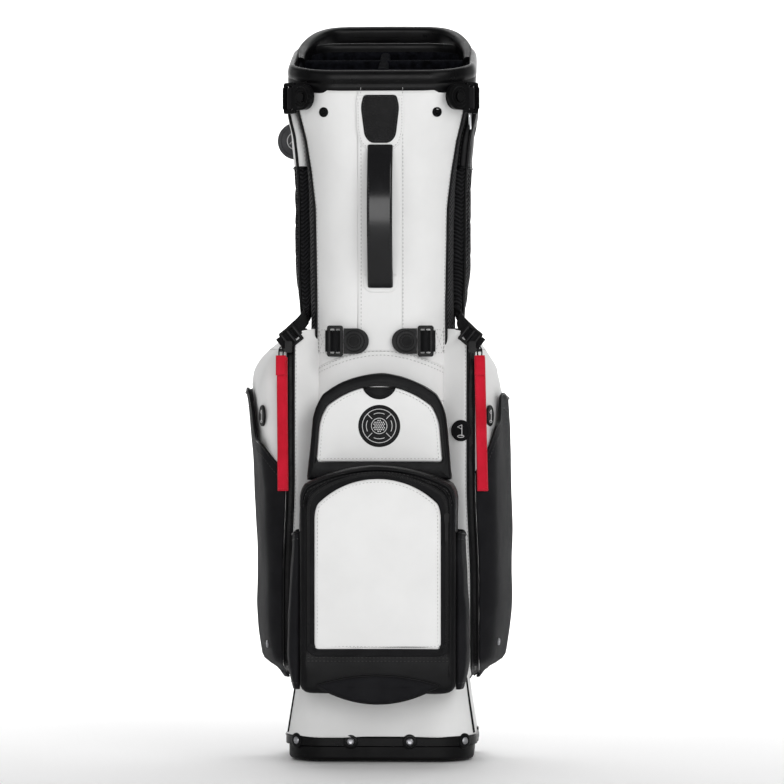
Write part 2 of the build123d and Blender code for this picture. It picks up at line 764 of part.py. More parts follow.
# ---------------------------------------------------------------- zip sliders and ribbon pulls
SLIDER_Z = 506
RIBBON_TOP = 493
RIBBON_LONG = 163
RIBBON_WIDE = 13
for side, word in SIDES:
    with BuildPart() as zip_slider:
        with BuildSketch(Plane.XZ.offset(90.4)):
            with Locations((side * (ZIP_X + 2), SLIDER_Z)):
                RectangleRounded(9, 14, 2)
            with Locations((side * (ZIP_X + 7), SLIDER_Z - 4)):
                Rectangle(14, 4)
        extrude(amount=1.6)
        with BuildSketch(Plane.XZ.offset(87)):
            with Locations((side * (ZIP_X + 2), SLIDER_Z)):
                Rectangle(5, 10)
        extrude(amount=3.4)
    save(zip_slider, f"{word}_zip_slider")

    with BuildPart() as ribbon_pull:
        with BuildSketch(Plane.XZ.offset(-RIBBON_Y - 0.6)):
            with Locations((side * RIBBON_X, RIBBON_TOP - RIBBON_LONG / 2)):
                Rectangle(RIBBON_WIDE, RIBBON_LONG)
            with Locations((side * RIBBON_X, RIBBON_TOP + 5)):
                Rectangle(7, 10)
                Rectangle(3, 6, mode=Mode.SUBTRACT)
        extrude(amount=1.6)
    save(ribbon_pull, f"{word}_ribbon_pull")

# ---------------------------------------------------------------- shoulder straps
# Pad edge-on: distance out to its inner and outer faces, and height
PAD_INNER = ((107.5, 815), (103.5, 790), (97, 762), (91, 700), (89.5, 600), (89, 565), (89, 536))
PAD_OUTER = ((118.5, 815), (116, 790), (111, 762), (107.5, 700), (106.5, 600), (104, 565), (100, 536))
WEBBING_IN = 89.5
WEBBING_OUT = 98
BUCKLE_OUT = 124
PAD_FRONT = -32
PAD_BACK = 38
for side, word in SIDES:
    with BuildPart() as shoulder_strap:
        outer_face = [(side * x, z) for x, z in PAD_OUTER]
        inner_face = [(side * x, z) for x, z in reversed(PAD_INNER)]
        with BuildSketch(Plane.XZ.offset(-PAD_BACK)):
            with BuildLine():
                Polyline(outer_face + inner_face, close=True)
            make_face()
        extrude(amount=PAD_BACK - PAD_FRONT)
        add(side_box(side, WEBBING_IN, WEBBING_OUT, (-78, 531), (PAD_FRONT, 538)))
        add(side_box(side, WEBBING_OUT, BUCKLE_OUT, (-80, 529), (-60, 538)))
    save(shoulder_strap, f"{word}_shoulder_strap")

# ---------------------------------------------------------------- accessory disc and towel ring
DISC_RADIUS = 23
DISC_FRONT = 44
with BuildPart() as accessory_disc:
    with BuildSketch(Plane.XZ.offset(-DISC_FRONT - 6)):
        with Locations((-111, 766)):
            Circle(DISC_RADIUS)
    extrude(amount=6)
    add(OUTER, mode=Mode.SUBTRACT)
save(accessory_disc, "accessory_disc")

RING_X = 108.5
RING_Y = -50
RING_Z = 790
RING_MAJOR = 15
RING_MINOR = 1.7
RING_PIVOT_Z = RING_Z + RING_MAJOR
with BuildPart() as towel_ring_tab:
    with BuildSketch(Plane.XZ.offset(-RING_Y - 3)):
        with Locations((RING_X, RING_PIVOT_Z)):
            Circle(4.6)
            Rectangle(9.2, 24, align=(Align.CENTER, Align.MIN))
            Circle(RING_MINOR + 0.9, mode=Mode.SUBTRACT)
    extrude(amount=6)
    add(collar_ring.part, mode=Mode.SUBTRACT)
    add(OUTER, mode=Mode.SUBTRACT)
save(towel_ring_tab, "towel_ring_tab")

with BuildPart() as towel_ring:
    with Locations(Location((RING_X, RING_Y, RING_Z), (0, 90, 0))):
        Torus(RING_MAJOR, RING_MINOR)
save(towel_ring, "towel_ring")

# ---------------------------------------------------------------- legs, bracket and push rods
def leg_plane(side):
    """Plane through a leg's pivot: +z along the pivot, +x away from the bag, +y up or down."""
    turn = radians(LEG_AZIMUTH)
    return Plane(
        origin=(side * LEG_X, LEG_Y, LEG_PIVOT_Z),
        x_dir=(side * sin(turn), cos(turn), 0),
        z_dir=(cos(turn), -side * sin(turn), 0),
    )


PLATE_FRONT = 101
PLATE_BACK = 106
EAR_GAP = EYE_WIDE / 2 + 0.3
EAR_THICK = 4
PIN_RADIUS = 2.5
with BuildPart() as leg_bracket:
    with BuildSketch(Plane.XZ.offset(-PLATE_BACK)):
        with Locations((0, LEG_PIVOT_Z)):
            RectangleRounded(150, 56, 10)
    extrude(amount=PLATE_BACK - PLATE_FRONT + 12)
    add(OUTER, mode=Mode.SUBTRACT)
    for side, word in SIDES:
        pivot = leg_plane(side)
        for start in (EAR_GAP, -EAR_GAP - EAR_THICK):
            with BuildSketch(pivot.offset(start)):
                Circle(EYE_RADIUS)
                with Locations((-13, 0)):
                    Rectangle(26, 2 * EYE_RADIUS)
            extrude(amount=EAR_THICK)
        with BuildSketch(pivot.offset(-EAR_GAP - EAR_THICK)):
            Circle(PIN_RADIUS)
        extrude(amount=2 * (EAR_GAP + EAR_THICK), mode=Mode.SUBTRACT)
    add(box_between((-90, 60, 700), (90, PLATE_FRONT - 1, 900)), mode=Mode.SUBTRACT)
save(leg_bracket, "leg_bracket")

with BuildPart() as leg_pins:
    for side, word in SIDES:
        with BuildSketch(leg_plane(side).offset(-EAR_GAP - EAR_THICK)):
            Circle(PIN_RADIUS)
        extrude(amount=2 * (EAR_GAP + EAR_THICK))
save(leg_pins, "leg_pins")

KNUCKLE_LOW = 778
CLAMP_TALL_UP = 12
CLAMP_TALL_DOWN = 10
SLOT_HALF = 4.3
for side, word in SIDES:
    pivot = leg_plane(side)
    inner = -side  # the rods run between the legs, on the inner side of each
    with BuildPart() as leg_fittings:
        with BuildSketch(pivot.offset(-EYE_WIDE / 2)):
            Circle(EYE_RADIUS)
        extrude(amount=EYE_WIDE)
        with BuildSketch(Plane.XY.offset(KNUCKLE_LOW)):
            with Locations((side * LEG_X, LEG_Y)):
                Circle(LEG_RADIUS)
        extrude(amount=LEG_PIVOT_Z - KNUCKLE_LOW - 4)
        for cut in (-1, 1):
            with BuildSketch(pivot.offset(cut * EYE_WIDE / 2)):
                Rectangle(60, 60)
            extrude(amount=cut * 10, mode=Mode.SUBTRACT)
        with BuildSketch(pivot.offset(-EYE_WIDE / 2)):
            Circle(PIN_RADIUS + RUNNING)
        extrude(amount=EYE_WIDE, mode=Mode.SUBTRACT)
        clamp_low = LEG_PIVOT_Z - ROD_DROP - CLAMP_TALL_DOWN
        clamp_seat = Plane(
            origin=(side * LEG_X, LEG_Y, clamp_low), x_dir=pivot.z_dir, z_dir=(0, 0, 1)
        )
        with BuildSketch(clamp_seat):
            with Locations((inner * 0.75, 0)):
                RectangleRounded(21.5, 20, 3)
            Circle(LEG_RADIUS, mode=Mode.SUBTRACT)
        extrude(amount=CLAMP_TALL_DOWN + CLAMP_TALL_UP)
        slot_seat = Plane(
            origin=(side * LEG_X, LEG_Y, LEG_PIVOT_Z - ROD_DROP), x_dir=pivot.z_dir, z_dir=(0, 0, 1)
        )
        with BuildSketch(slot_seat.offset(-5)):
            with Locations((inner * 11, 0)):
                Rectangle(5.6, 2 * SLOT_HALF)
        extrude(amount=11, mode=Mode.SUBTRACT)
    save(leg_fittings, f"{word}_leg_fittings")

    with BuildPart() as leg_tube:
        with BuildSketch(Plane.XY.offset(LEG_BOTTOM)):
            with Locations((side * LEG_X, LEG_Y)):
                Circle(LEG_RADIUS)
                Circle(LEG_BORE, mode=Mode.SUBTRACT)
        extrude(amount=KNUCKLE_LOW - LEG_BOTTOM)
    save(leg_tube, f"{word}_leg_tube")

    with BuildPart() as leg_foot:
        with BuildSketch(Plane.XY.offset(LEG_BOTTOM)):
            with Locations((side * LEG_X, LEG_Y)):
                Circle(10.5)
        extrude(amount=-26)
        fillet(leg_foot.edges(), 3)
    save(leg_foot, f"{word}_leg_foot")

    turn = radians(LEG_AZIMUTH)
    rod_top = (
        side * (LEG_X - ROD_SIDE * cos(turn)),
        LEG_Y + ROD_SIDE * sin(turn),
        LEG_PIVOT_Z - ROD_DROP,
    )
    rod_low = (side * ROD_FOOT[0], ROD_FOOT[1], ROD_FOOT[2])
    rod_run = Vector(*rod_top) - Vector(*rod_low)
    rod_seat = Plane(origin=rod_low, x_dir=(1, 0, 0), z_dir=rod_run)
    with BuildPart() as push_rod:
        with BuildSketch(rod_seat):
            Circle(ROD_RADIUS)
        extrude(amount=rod_run.length + ROD_RADIUS)
        with BuildSketch(Plane.YZ.offset(side * ROD_FOOT[0] - 3)):
            with Locations(ROD_FOOT[1:]):
                Circle(ROD_RADIUS + 2.2)
        extrude(amount=6)
        with BuildSketch(Plane.YZ.offset(side * ROD_FOOT[0] - 3)):
            with Locations(ROD_FOOT[1:]):
                Circle(ROD_RADIUS + GAP)
        extrude(amount=6, mode=Mode.SUBTRACT)
        hook_seat = Plane(
            origin=rod_top, x_dir=(0, 0, 1), z_dir=(side * cos(turn), -sin(turn), 0)
        )
        with BuildSketch(hook_seat):
            Circle(ROD_RADIUS)
        extrude(amount=ROD_SIDE - 9)
    save(push_rod, f"{word}_push_rod")
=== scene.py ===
"""Looks of the golf stand bag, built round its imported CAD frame.

Sizes in this file are millimetres, and metres only where a mesh, curve, light or camera is made.
"""
from math import asin, atan2, cos, hypot, pi, radians, sin, sqrt, tan

import bmesh
import bpy
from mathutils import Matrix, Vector, noise


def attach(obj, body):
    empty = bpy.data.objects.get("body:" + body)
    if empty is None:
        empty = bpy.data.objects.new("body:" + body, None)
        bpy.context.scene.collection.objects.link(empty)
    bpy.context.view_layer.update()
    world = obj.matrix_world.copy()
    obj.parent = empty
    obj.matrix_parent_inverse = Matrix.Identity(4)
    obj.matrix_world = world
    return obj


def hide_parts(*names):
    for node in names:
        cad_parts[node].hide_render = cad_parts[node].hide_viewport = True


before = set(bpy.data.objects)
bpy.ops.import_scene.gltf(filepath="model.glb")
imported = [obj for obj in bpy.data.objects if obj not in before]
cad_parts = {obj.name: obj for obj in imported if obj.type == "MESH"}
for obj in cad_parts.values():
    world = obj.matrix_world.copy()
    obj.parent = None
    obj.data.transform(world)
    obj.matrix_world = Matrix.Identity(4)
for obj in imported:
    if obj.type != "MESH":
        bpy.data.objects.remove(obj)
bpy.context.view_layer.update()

MM = 0.001
SIDES = ((-1, "left"), (1, "right"))


# ================================================================ materials
LOOK = {}


class Look:
    """A Principled material and the detail added to it; bump depths are in millimetres."""

    def __init__(self, name, colour, rough, metal=0.0, coat=0.0, sheen=0.0, specular=0.12):
        made = bpy.data.materials.new(name)
        made.use_nodes = True
        self.nodes, self.links = made.node_tree.nodes, made.node_tree.links
        self.shader = self.nodes["Principled BSDF"]
        values = {
            "Base Color": (*colour, 1), "Roughness": rough, "Metallic": metal, "Specular IOR Level": specular,
            "Coat Weight": coat, "Coat Roughness": 0.15, "Sheen Weight": sheen, "Sheen Roughness": 0.4,
        }
        for socket, value in values.items():
            self.shader.inputs[socket].default_value = value
        self.where = self.nodes.new("ShaderNodeTexCoord").outputs["Object"]
        LOOK[name] = made

    def node(self, kind, where=None, **values):
        """A new node with some of its properties or inputs set, fed with coordinates."""
        node = self.nodes.new("ShaderNode" + kind)
        for key, value in values.items():
            if hasattr(node, key):
                setattr(node, key, value)
            else:
                node.inputs[key.replace("_", " ")].default_value = value
        if where:
            self.links.new(where, node.inputs["Vector"])
        return node

    def cloud(self, scale, detail, rough=0.5, where=None):
        noisy = self.node("TexNoise", where or self.where, Scale=scale, Detail=detail, Roughness=rough)
        return noisy.outputs["Fac"]

    def ramp(self, amount, dark, light, low=0.0, high=1.0):
        """Base colour between two colours."""
        ramp = self.node("ValToRGB")
        for stop, place, colour in zip(ramp.color_ramp.elements, (low, high), (dark, light)):
            stop.position = place
            stop.color = (*colour, 1)
        self.links.new(amount, ramp.inputs["Fac"])
        self.links.new(ramp.outputs["Color"], self.shader.inputs["Base Color"])

    def tint(self, dark, light, scale):
        """Slow, cloudy colour variation."""
        self.ramp(self.cloud(scale, 4.0, 0.6), dark, light, 0.35, 0.65)

    def vary_rough(self, low, high, scale):
        """Roughness that wanders between two values."""
        spread = self.node("MapRange", From_Min=0.3, From_Max=0.7, To_Min=low, To_Max=high)
        self.links.new(self.cloud(scale, 5.0, 0.6), spread.inputs["Value"])
        self.links.new(spread.outputs["Result"], self.shader.inputs["Roughness"])

    def bump(self, height, strength, depth):
        """Adds a height to the normal, on top of any bump that is already there."""
        bump = self.node("Bump", Strength=strength, Distance=depth * MM)
        self.links.new(height, bump.inputs["Height"])
        normal = self.shader.inputs["Normal"]
        if normal.is_linked:
            self.links.new(normal.links[0].from_socket, bump.inputs["Normal"])
        self.links.new(bump.outputs["Normal"], normal)

    def math(self, operation, *values):
        """A Math node fed by sockets or numbers."""
        node = self.node("Math", operation=operation)
        for place, value in enumerate(values):
            if isinstance(value, (int, float)):
                node.inputs[place].default_value = value
            else:
                self.links.new(value, node.inputs[place])
        return node.outputs[0]

    def wave(self, value, pitch):
        return self.math("SINE", self.math("MULTIPLY", value, 2 * pi / pitch))

    def front_and_height(self):
        """Sideways plus depth, and height, in millimetres."""
        parts = self.node("SeparateXYZ", self.where)
        x, y, z = [self.math("MULTIPLY", socket, 1000.0) for socket in parts.outputs]
        return self.math("ADD", x, y), z


def leather(name, dark, light, rough, grain, depth, coat=0.0):
    """Pebbled leather: cells of about grain millimetres, finer creases, and slow colour drift."""
    look = Look(name, light, rough, coat=coat)
    look.tint(dark, light, 14)
    look.vary_rough(rough - 0.06, rough + 0.08, 40)
    cells = look.node("TexVoronoi", look.where, feature="DISTANCE_TO_EDGE", Scale=1000 / grain)
    look.bump(look.math("POWER", cells.outputs["Distance"], 0.45), 0.5, depth)
    look.bump(look.cloud(260.0, 6.0, 0.65), 0.25, depth)


def plastic(name, dark, light, rough, texture=0.05):
    """Moulded plastic or rubber with a fine spark-eroded texture."""
    look = Look(name, light, rough)
    look.tint(dark, light, 25)
    look.vary_rough(rough - 0.07, rough + 0.07, 60)
    look.bump(look.cloud(1600.0, 3.0, 0.7), 0.35, texture)


def metal(name, colour, rough, brushed=True):
    """Bare metal with fine drawn lines or a polished surface."""
    look = Look(name, colour, rough, metal=1.0)
    look.tint([c * 0.8 for c in colour], colour, 30)
    look.vary_rough(rough - 0.04, rough + 0.1, 90)
    if brushed:
        stretch = look.node("Mapping", look.where, Scale=(2500, 2500, 60))
        look.bump(look.cloud(1.0, 3.0, where=stretch.outputs["Vector"]), 0.3, 0.03)


def woven(name, dark, light, rough, pitch, depth, sheen=0.3):
    """Plain weave: warp and weft bumps of a given pitch in millimetres."""
    look = Look(name, light, rough, sheen=sheen)
    across, height = look.front_and_height()
    look.bump(look.math("MULTIPLY", look.wave(across, pitch), look.wave(height, pitch)), 0.6, depth)
    look.tint(dark, light, 22)
    look.bump(look.cloud(900.0, 4.0), 0.3, depth)


def herringbone(name, dark, light, column, rib, depth):
    """Ribbed mesh whose ribs slope one way and then the other in upright columns, with painted light on the
    rib crests and painted shade in the grooves.
    """
    look = Look(name, dark, 0.75, sheen=0.1)
    across, height = look.front_and_height()
    folded = look.math("MULTIPLY", look.math("PINGPONG", across, column), 0.75)
    wave = look.wave(look.math("ADD", height, folded), rib)
    look.bump(wave, 0.8, depth)
    # The rib wave also sets the base colour: painted highlight on the crests, painted shade in the grooves.
    lift = look.node("MapRange", From_Min=-1)
    look.links.new(wave, lift.inputs["Value"])
    look.ramp(lift.outputs["Result"], dark, light)
    holes = look.node("TexVoronoi", look.where, Scale=520.0)
    look.bump(holes.outputs["Distance"], 0.5, depth * 0.6)


def fleece(name, dark, light):
    """Brushed, fluffy lining."""
    look = Look(name, light, 0.95, specular=0.04)
    look.tint(dark, light, 120)
    look.bump(look.cloud(420.0, 8.0, 0.8), 1.0, 1.2)


leather("white_leather", (0.765, 0.765, 0.76), (0.80, 0.80, 0.795), 0.44, 1.1, 0.08)
leather("black_leather", (0.002, 0.002, 0.0024), (0.005, 0.005, 0.0056), 0.38, 1.5, 0.22)
leather("gloss_leather", (0.003, 0.003, 0.0035), (0.006, 0.006, 0.007), 0.20, 1.0, 0.05, coat=0.5)
leather("pebbled", (0.003, 0.003, 0.0034), (0.009, 0.009, 0.0096), 0.36, 3.0, 1.0)
herringbone("black_mesh", (0.003, 0.003, 0.0035), (0.022, 0.022, 0.024), 14, 5.0, 1.0)
woven("air_mesh", (0.005, 0.005, 0.006), (0.013, 0.013, 0.014), 0.85, 2.6, 0.6, 0.12)
woven("neoprene", (0.0055, 0.0055, 0.0068), (0.0095, 0.0095, 0.011), 0.72, 0.8, 0.08, 0.03)
woven("red_ribbon", (0.50, 0.004, 0.018), (0.66, 0.010, 0.035), 0.6, 0.9, 0.12, 0.35)
woven("zip_tape", (0.004, 0.004, 0.0045), (0.009, 0.009, 0.010), 0.65, 1.2, 0.15, 0.1)
woven("webbing", (0.003, 0.003, 0.0034), (0.007, 0.007, 0.0078), 0.65, 1.5, 0.22, 0.05)
woven("foam", (0.03, 0.03, 0.03), (0.05, 0.05, 0.05), 0.9, 1.2, 0.1)
# White thread coloured mid grey: the shade in its needle holes is painted into its colour.
woven("white_thread_painted_shade", (0.40, 0.40, 0.40), (0.50, 0.50, 0.49), 0.7, 0.5, 0.08)
woven("black_thread", (0.02, 0.02, 0.02), (0.04, 0.04, 0.04), 0.7, 0.5, 0.08)
plastic("black_plastic", (0.002, 0.002, 0.0022), (0.004, 0.004, 0.0044), 0.32)
plastic("white_plastic", (0.72, 0.72, 0.71), (0.79, 0.79, 0.78), 0.40, 0.03)
plastic("grey_plastic", (0.050, 0.050, 0.053), (0.085, 0.085, 0.09), 0.55, 0.25)
plastic("rubber", (0.002, 0.002, 0.0022), (0.004, 0.004, 0.0044), 0.5, 0.12)
plastic("badge", (0.004, 0.004, 0.0045), (0.008, 0.008, 0.009), 0.5, 0.08)
plastic("badge_mark", (0.62, 0.62, 0.62), (0.74, 0.74, 0.74), 0.5, 0.03)
plastic("fibreglass", (0.22, 0.22, 0.20), (0.32, 0.32, 0.29), 0.4)
metal("aluminium", (0.30, 0.31, 0.33), 0.32)
metal("steel", (0.42, 0.42, 0.44), 0.34)
metal("chrome", (0.75, 0.76, 0.78), 0.12, brushed=False)
fleece("fleece", (0.001, 0.001, 0.0015), (0.006, 0.0065, 0.009))


# ================================================================ mesh helpers
def finish_piece(name, data, look, body, replaces):
    """Places a piece with its material and body, and hides the CAD node it stands for."""
    thing = bpy.data.objects.new(name, data)
    bpy.context.scene.collection.objects.link(thing)
    data.materials.append(LOOK[look])
    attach(thing, body)
    if replaces:
        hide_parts(replaces)
    return thing


def piece(name, shapes, look, body="bag", replaces="", sharp=40):
    """One mesh from shapes, each a list of points in millimetres and a list of faces."""
    points = []
    faces = []
    for shape_points, shape_faces in shapes:
        first = len(points)
        points += [Vector(p) * MM for p in shape_points]
        faces += [tuple(first + i for i in face) for face in shape_faces]
    data = bpy.data.meshes.new(name)
    data.from_pydata(points, [], faces)
    shaped = bmesh.new()
    shaped.from_mesh(data)
    bmesh.ops.remove_doubles(shaped, verts=shaped.verts, dist=0.00001)
    bmesh.ops.dissolve_degenerate(shaped, edges=shaped.edges, dist=0.00001)
    bmesh.ops.recalc_face_normals(shaped, faces=shaped.faces)
    shaped.to_mesh(data)
    shaped.free()
    data.shade_smooth()
    data.set_sharp_from_angle(angle=radians(sharp))
    return finish_piece(name, data, look, body, replaces)


def cad_look(node, look, bevel=0.0):
    """A CAD node that keeps its shape gets its material, and softened edges."""
    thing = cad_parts[node]
    thing.data.materials.clear()
    thing.data.materials.append(LOOK[look])
    if bevel:
        edges = thing.modifiers.new("edges", "BEVEL")
        edges.width = bevel * MM
        edges.segments = 3
        edges.limit_method = "ANGLE"
        edges.angle_limit = radians(35)
        edges.harden_normals = False


def surface(rows, columns, point):
    """Rows of points; point takes two parts from 0 to 1, up the rows and along the columns."""
    return [[Vector(point(r / (rows - 1), c / (columns - 1))) for c in range(columns)] for r in range(rows)]


def sheet_faces(rows, columns, around=False):
    """Quads of a grid of rows by columns."""
    faces = []
    for r in range(rows - 1):
        for c in range(columns if around else columns - 1):
            a = r * columns + c
            b = r * columns + (c + 1) % columns
            faces.append((a, b, b + columns, a + columns))
    return faces


def skin(name, rows, look, thick, body="bag", replaces="", axis=(0, 0)):
    """A sewn panel through rows of points, thickened towards an upright axis at (x, y)."""
    panel = [p for row in rows for p in row], sheet_faces(len(rows), len(rows[0]))
    made = piece(name, [panel], look, body, replaces, sharp=70)
    towards = 0
    for face in made.data.polygons:
        away = face.center / MM - Vector((axis[0], axis[1], face.center.z / MM))
        towards += face.normal.dot(away) * face.area
    if towards < 0:
        made.data.flip_normals()
    solid = made.modifiers.new("thickness", "SOLIDIFY")
    solid.thickness = thick * MM
    solid.offset = -1
    return made


def loft(loops, caps=True):
    """A closed shape through loops of equal length; without caps it closes on its first loop."""
    loops = list(loops) if caps else [*loops, loops[0]]
    count = len(loops[0])
    points = [p for loop in loops for p in loop]
    faces = sheet_faces(len(loops), count, True)
    if caps:
        faces.append(tuple(range(count)))
        faces.append(tuple(range((len(loops) - 1) * count, len(loops) * count)))
    return points, faces


def pipe(name, lines, radius, look, body="bag", closed=False):
    """Round piping or moulded edges along one or more lines of points."""
    data = bpy.data.curves.new(name, "CURVE")
    data.dimensions = "3D"
    data.bevel_depth = radius * MM
    data.bevel_resolution = 3
    data.use_fill_caps = True
    for points in lines:
        line = data.splines.new("POLY")
        line.points.add(len(points) - 1)
        for target, p in zip(line.points, points):
            target.co = (*(Vector(p) * MM), 1)
        line.use_cyclic_u = closed
        line.use_smooth = True
    return finish_piece(name, data, look, body, "")


def steps_along(line, pitch):
    """Evenly pitched spots on a line: segment number, spot, and direction of the line."""
    run = [Vector(p) for p in line]
    spot = 0.0
    for k, (a, b) in enumerate(zip(run, run[1:])):
        length = (b - a).length
        if length < 0.001:
            continue
        along = (b - a) / length
        while spot < length:
            yield k, a + along * spot, along
            spot += pitch
        spot -= length


def stitches(name, lines, look, body="bag", size=(3.0, 1.6, 0.4)):
    """Thread stitches as small spindles along lines of points; size is length, gap and radius."""
    long, gap, radius = size
    faces = []
    for k in range(4):
        n = (k + 1) % 4
        faces += [(0, 1 + n, 1 + k), (1 + k, 1 + n, 5 + n, 5 + k), (9, 5 + k, 5 + n)]
    shapes = []
    for line in lines:
        for _, start, along in steps_along(line, long + gap):
            other = along.cross(Vector((0.02, 1, 0.01))).normalized()
            third = along.cross(other)
            points = [start]
            for reach in (0.25, 0.75):
                for k in range(4):
                    side = (other * cos(k * pi / 2) + third * sin(k * pi / 2)) * radius
                    points.append(start + along * long * reach + side)
            shapes.append((points + [start + along * long], faces))
    return piece(name, shapes, look, body, sharp=80)


def box_shape(centre, axes, size):
    """A small block with its own directions."""
    points = []
    for c in (-0.5, 0.5):
        for b in (-0.5, 0.5):
            for a in (-0.5, 0.5):
                steps = [axis * k * s for axis, k, s in zip(axes, (a, b, c), size)]
                points.append(centre + steps[0] + steps[1] + steps[2])
    return points, [(0, 1, 3, 2), (4, 6, 7, 5), (0, 4, 5, 1), (2, 3, 7, 6), (0, 2, 6, 4), (1, 5, 7, 3)]


def zip_teeth(name, line):
    """Two rows of meshing teeth along a line that faces the front."""
    out = Vector((0, -1, 0))
    shapes = []
    for count, (_, spot, along) in enumerate(steps_along(line, 1.05)):
        across = along.cross(out).normalized()
        centre = spot + across * (0.7 if count % 2 else -0.7) + out * 0.35
        shapes.append(box_shape(centre, (along, across, out), (1.25, 2.4, 1.1)))
    return piece(name, shapes, "black_plastic", sharp=20)


def resample(line, count, closed=True):
    """Evenly spaced points along a line or loop."""
    ring = [Vector(p) for p in line] + ([Vector(line[0])] if closed else [])
    lengths = [0.0]
    for a, b in zip(ring, ring[1:]):
        lengths.append(lengths[-1] + (b - a).length)
    result = []
    segment = 0
    for k in range(count):
        target = lengths[-1] * k / (count if closed else count - 1)
        while segment < len(ring) - 2 and lengths[segment + 1] < target:
            segment += 1
        span = lengths[segment + 1] - lengths[segment]
        part = (target - lengths[segment]) / span if span else 0
        result.append(ring[segment].lerp(ring[segment + 1], min(max(part, 0), 1)))
    return result


def rounded(corners, radius, steps=8, closed=True):
    """A line whose corners are rounded; radius is one number or one for each corner."""
    count = len(corners)
    radii = radius if isinstance(radius, list) else [radius] * count
    outline = []
    for k, (corner, r) in enumerate(zip(corners, radii)):
        here = Vector(corner)
        back = Vector(corners[k - 1]) - here
        ahead = Vector(corners[(k + 1) % count]) - here
        reach = min(r, back.length * 0.49, ahead.length * 0.49)
        if reach < 0.01 or (not closed and k in (0, count - 1)):
            outline.append(here)
            continue
        start = here + back.normalized() * reach
        end = here + ahead.normalized() * reach
        for s in range(steps + 1):
            t = s / steps
            outline.append(start.lerp(here, t).lerp(here.lerp(end, t), t))
    return outline


def inset(outline, distance):
    """The closed outline moved inwards by a small distance, or outwards if it is negative."""
    area = sum(a.x * b.y - b.x * a.y for a, b in zip(outline, outline[1:] + outline[:1]))
    shift = distance if area > 0 else -distance
    moved = []
    for k, here in enumerate(outline):
        along = (outline[(k + 1) % len(outline)] - outline[k - 1]).normalized()
        moved.append(here + Vector((-along.y, along.x)) * shift)
    return moved


def on_front(outline, depth, lift=0.0):
    """Points of a front-view outline at a depth, or lifted off the surface that depth gives."""
    if callable(depth):
        return [(p.x, depth(p.x, p.y) - lift, p.y) for p in outline]
    return [(p.x, depth - lift, p.y) for p in outline]


EDGE = 1.6  # a relief's edge follows its outline this far in; further in it shrinks to the middle


def relief(outline, profile, base, count=96, fill=5):
    """A raised shape over an outline in the front view.

    profile lists (inset, height above base); base gives the depth under a point of the front view.
    """
    even = resample(outline, count)
    middle = sum(even, Vector((0, 0))) / len(even)
    reach = min((p - middle).length for p in even)
    rim_ring = inset(even, min(profile[-1][0], EDGE))

    def ring_at(distance):
        if distance <= EDGE:
            return inset(even, distance)
        return [p.lerp(middle, (distance - EDGE) / reach) for p in rim_ring]

    loops = [on_front(ring_at(distance), base, height) for distance, height in profile]
    for k in range(1, fill + 1):
        ring = [p.lerp(middle, k / fill * 0.999) for p in ring_at(profile[-1][0])]
        loops.append(on_front(ring, base, profile[-1][1]))
    return loft(loops)


def lathe(profile, origin, outwards, count=40):
    """A round shape: profile lists (radius, height) from the rim to the middle."""
    axis = Vector(outwards).normalized()
    flat = axis.cross(Vector((0, 0, 1)))
    flat = flat.normalized() if flat.length > 0.1 else Vector((1, 0, 0))
    other = axis.cross(flat)
    loops = []
    for radius, height in profile:
        centre = Vector(origin) + axis * height
        loops.append(ring_line(centre, (flat, other), max(radius, 0.01), count)[:-1])
    return loft(loops)


def ring_line(centre, axes, radius, count=40, start=0.0, end=2 * pi):
    """Points of a circle or arc round a centre, its first axis at turn 0."""
    first, second = Vector(axes[0]) * radius, Vector(axes[1]) * radius
    turns = [start + (end - start) * k / count for k in range(count + 1)]
    return [Vector(centre) + first * cos(turn) + second * sin(turn) for turn in turns]


def sweep(path, section, up=(0, 0, 1), grow=None):
    """A closed section carried along a path; section points are (sideways, along up)."""
    run = [Vector(p) for p in path]
    last = len(run) - 1
    loops = []
    for k, here in enumerate(run):
        along = (run[min(k + 1, last)] - run[max(k - 1, 0)]).normalized()
        side = along.cross(Vector(up)).normalized()
        rise = side.cross(along)
        wide, tall = grow(k / last) if grow else (1, 1)
        loops.append([here + side * a * wide + rise * b * tall for a, b in section])
    return loft(loops)


def round_section(wide, tall, radius, steps=4):
    """A rounded rectangle as a closed list of (across, up) points."""
    a, b = wide / 2, tall / 2
    return [(p.x, p.y) for p in rounded([(-a, -b), (a, -b), (a, b), (-a, b)], radius, steps)]


def ring_sweep(wide, deep, corner, profile, place):
    """A closed profile of (outward offset, height) carried round a rounded rectangle."""
    loops = []
    for offset, height in profile:
        loop = []
        for sx, sy, start in ((1, -1, -pi / 2), (1, 1, 0), (-1, 1, pi / 2), (-1, -1, pi)):
            for k in range(17):
                turn = start + k / 16 * pi / 2
                x = sx * (wide / 2 - corner) + cos(turn) * (corner + offset)
                y = sy * (deep / 2 - corner) + sin(turn) * (corner + offset)
                loop.append(place(x, y, height))
        loops.append(loop)
    return loft(loops, caps=False)


def arched(half, low, shoulder, crown, corner):
    """The front-view outline of a pocket with rounded shoulders and a crowned top."""
    radius = (half * half + (crown - shoulder) ** 2) / (2 * (crown - shoulder))

    def top_at(x):
        return crown - radius + sqrt(radius * radius - x * x)

    spread = [half - 2 * half * k / 32 for k in range(33)]
    centre = Vector((half - corner, top_at(half - corner) - corner * 0.97))
    line = []
    for p in resample([(-half, low), (half, low)] + [(x, top_at(x)) for x in spread], 400):
        away = Vector((abs(p.x), p.y)) - centre
        if p.y > shoulder - corner and away.x > 0 and away.y > 0 and away.length > corner:
            away = away.normalized() * corner
            p = Vector(((centre.x + away.x) * (1 if p.x > 0 else -1), centre.y + away.y))
        line.append(p)
    return line


def footed(half, low, shoulder, crown, corner, foot, above, steps=5):
    """An arched outline whose lower corners are rounded too; its arch starts above a height."""
    top = [tuple(p) for p in arched(half, low, shoulder, crown, corner) if p.y > above]
    return rounded([(-half, low), (half, low)] + top, [foot, foot] + [0] * len(top), steps)


def smooth_step(t):
    t = min(max(t, 0.0), 1.0)
    return t * t * (3 - 2 * t)


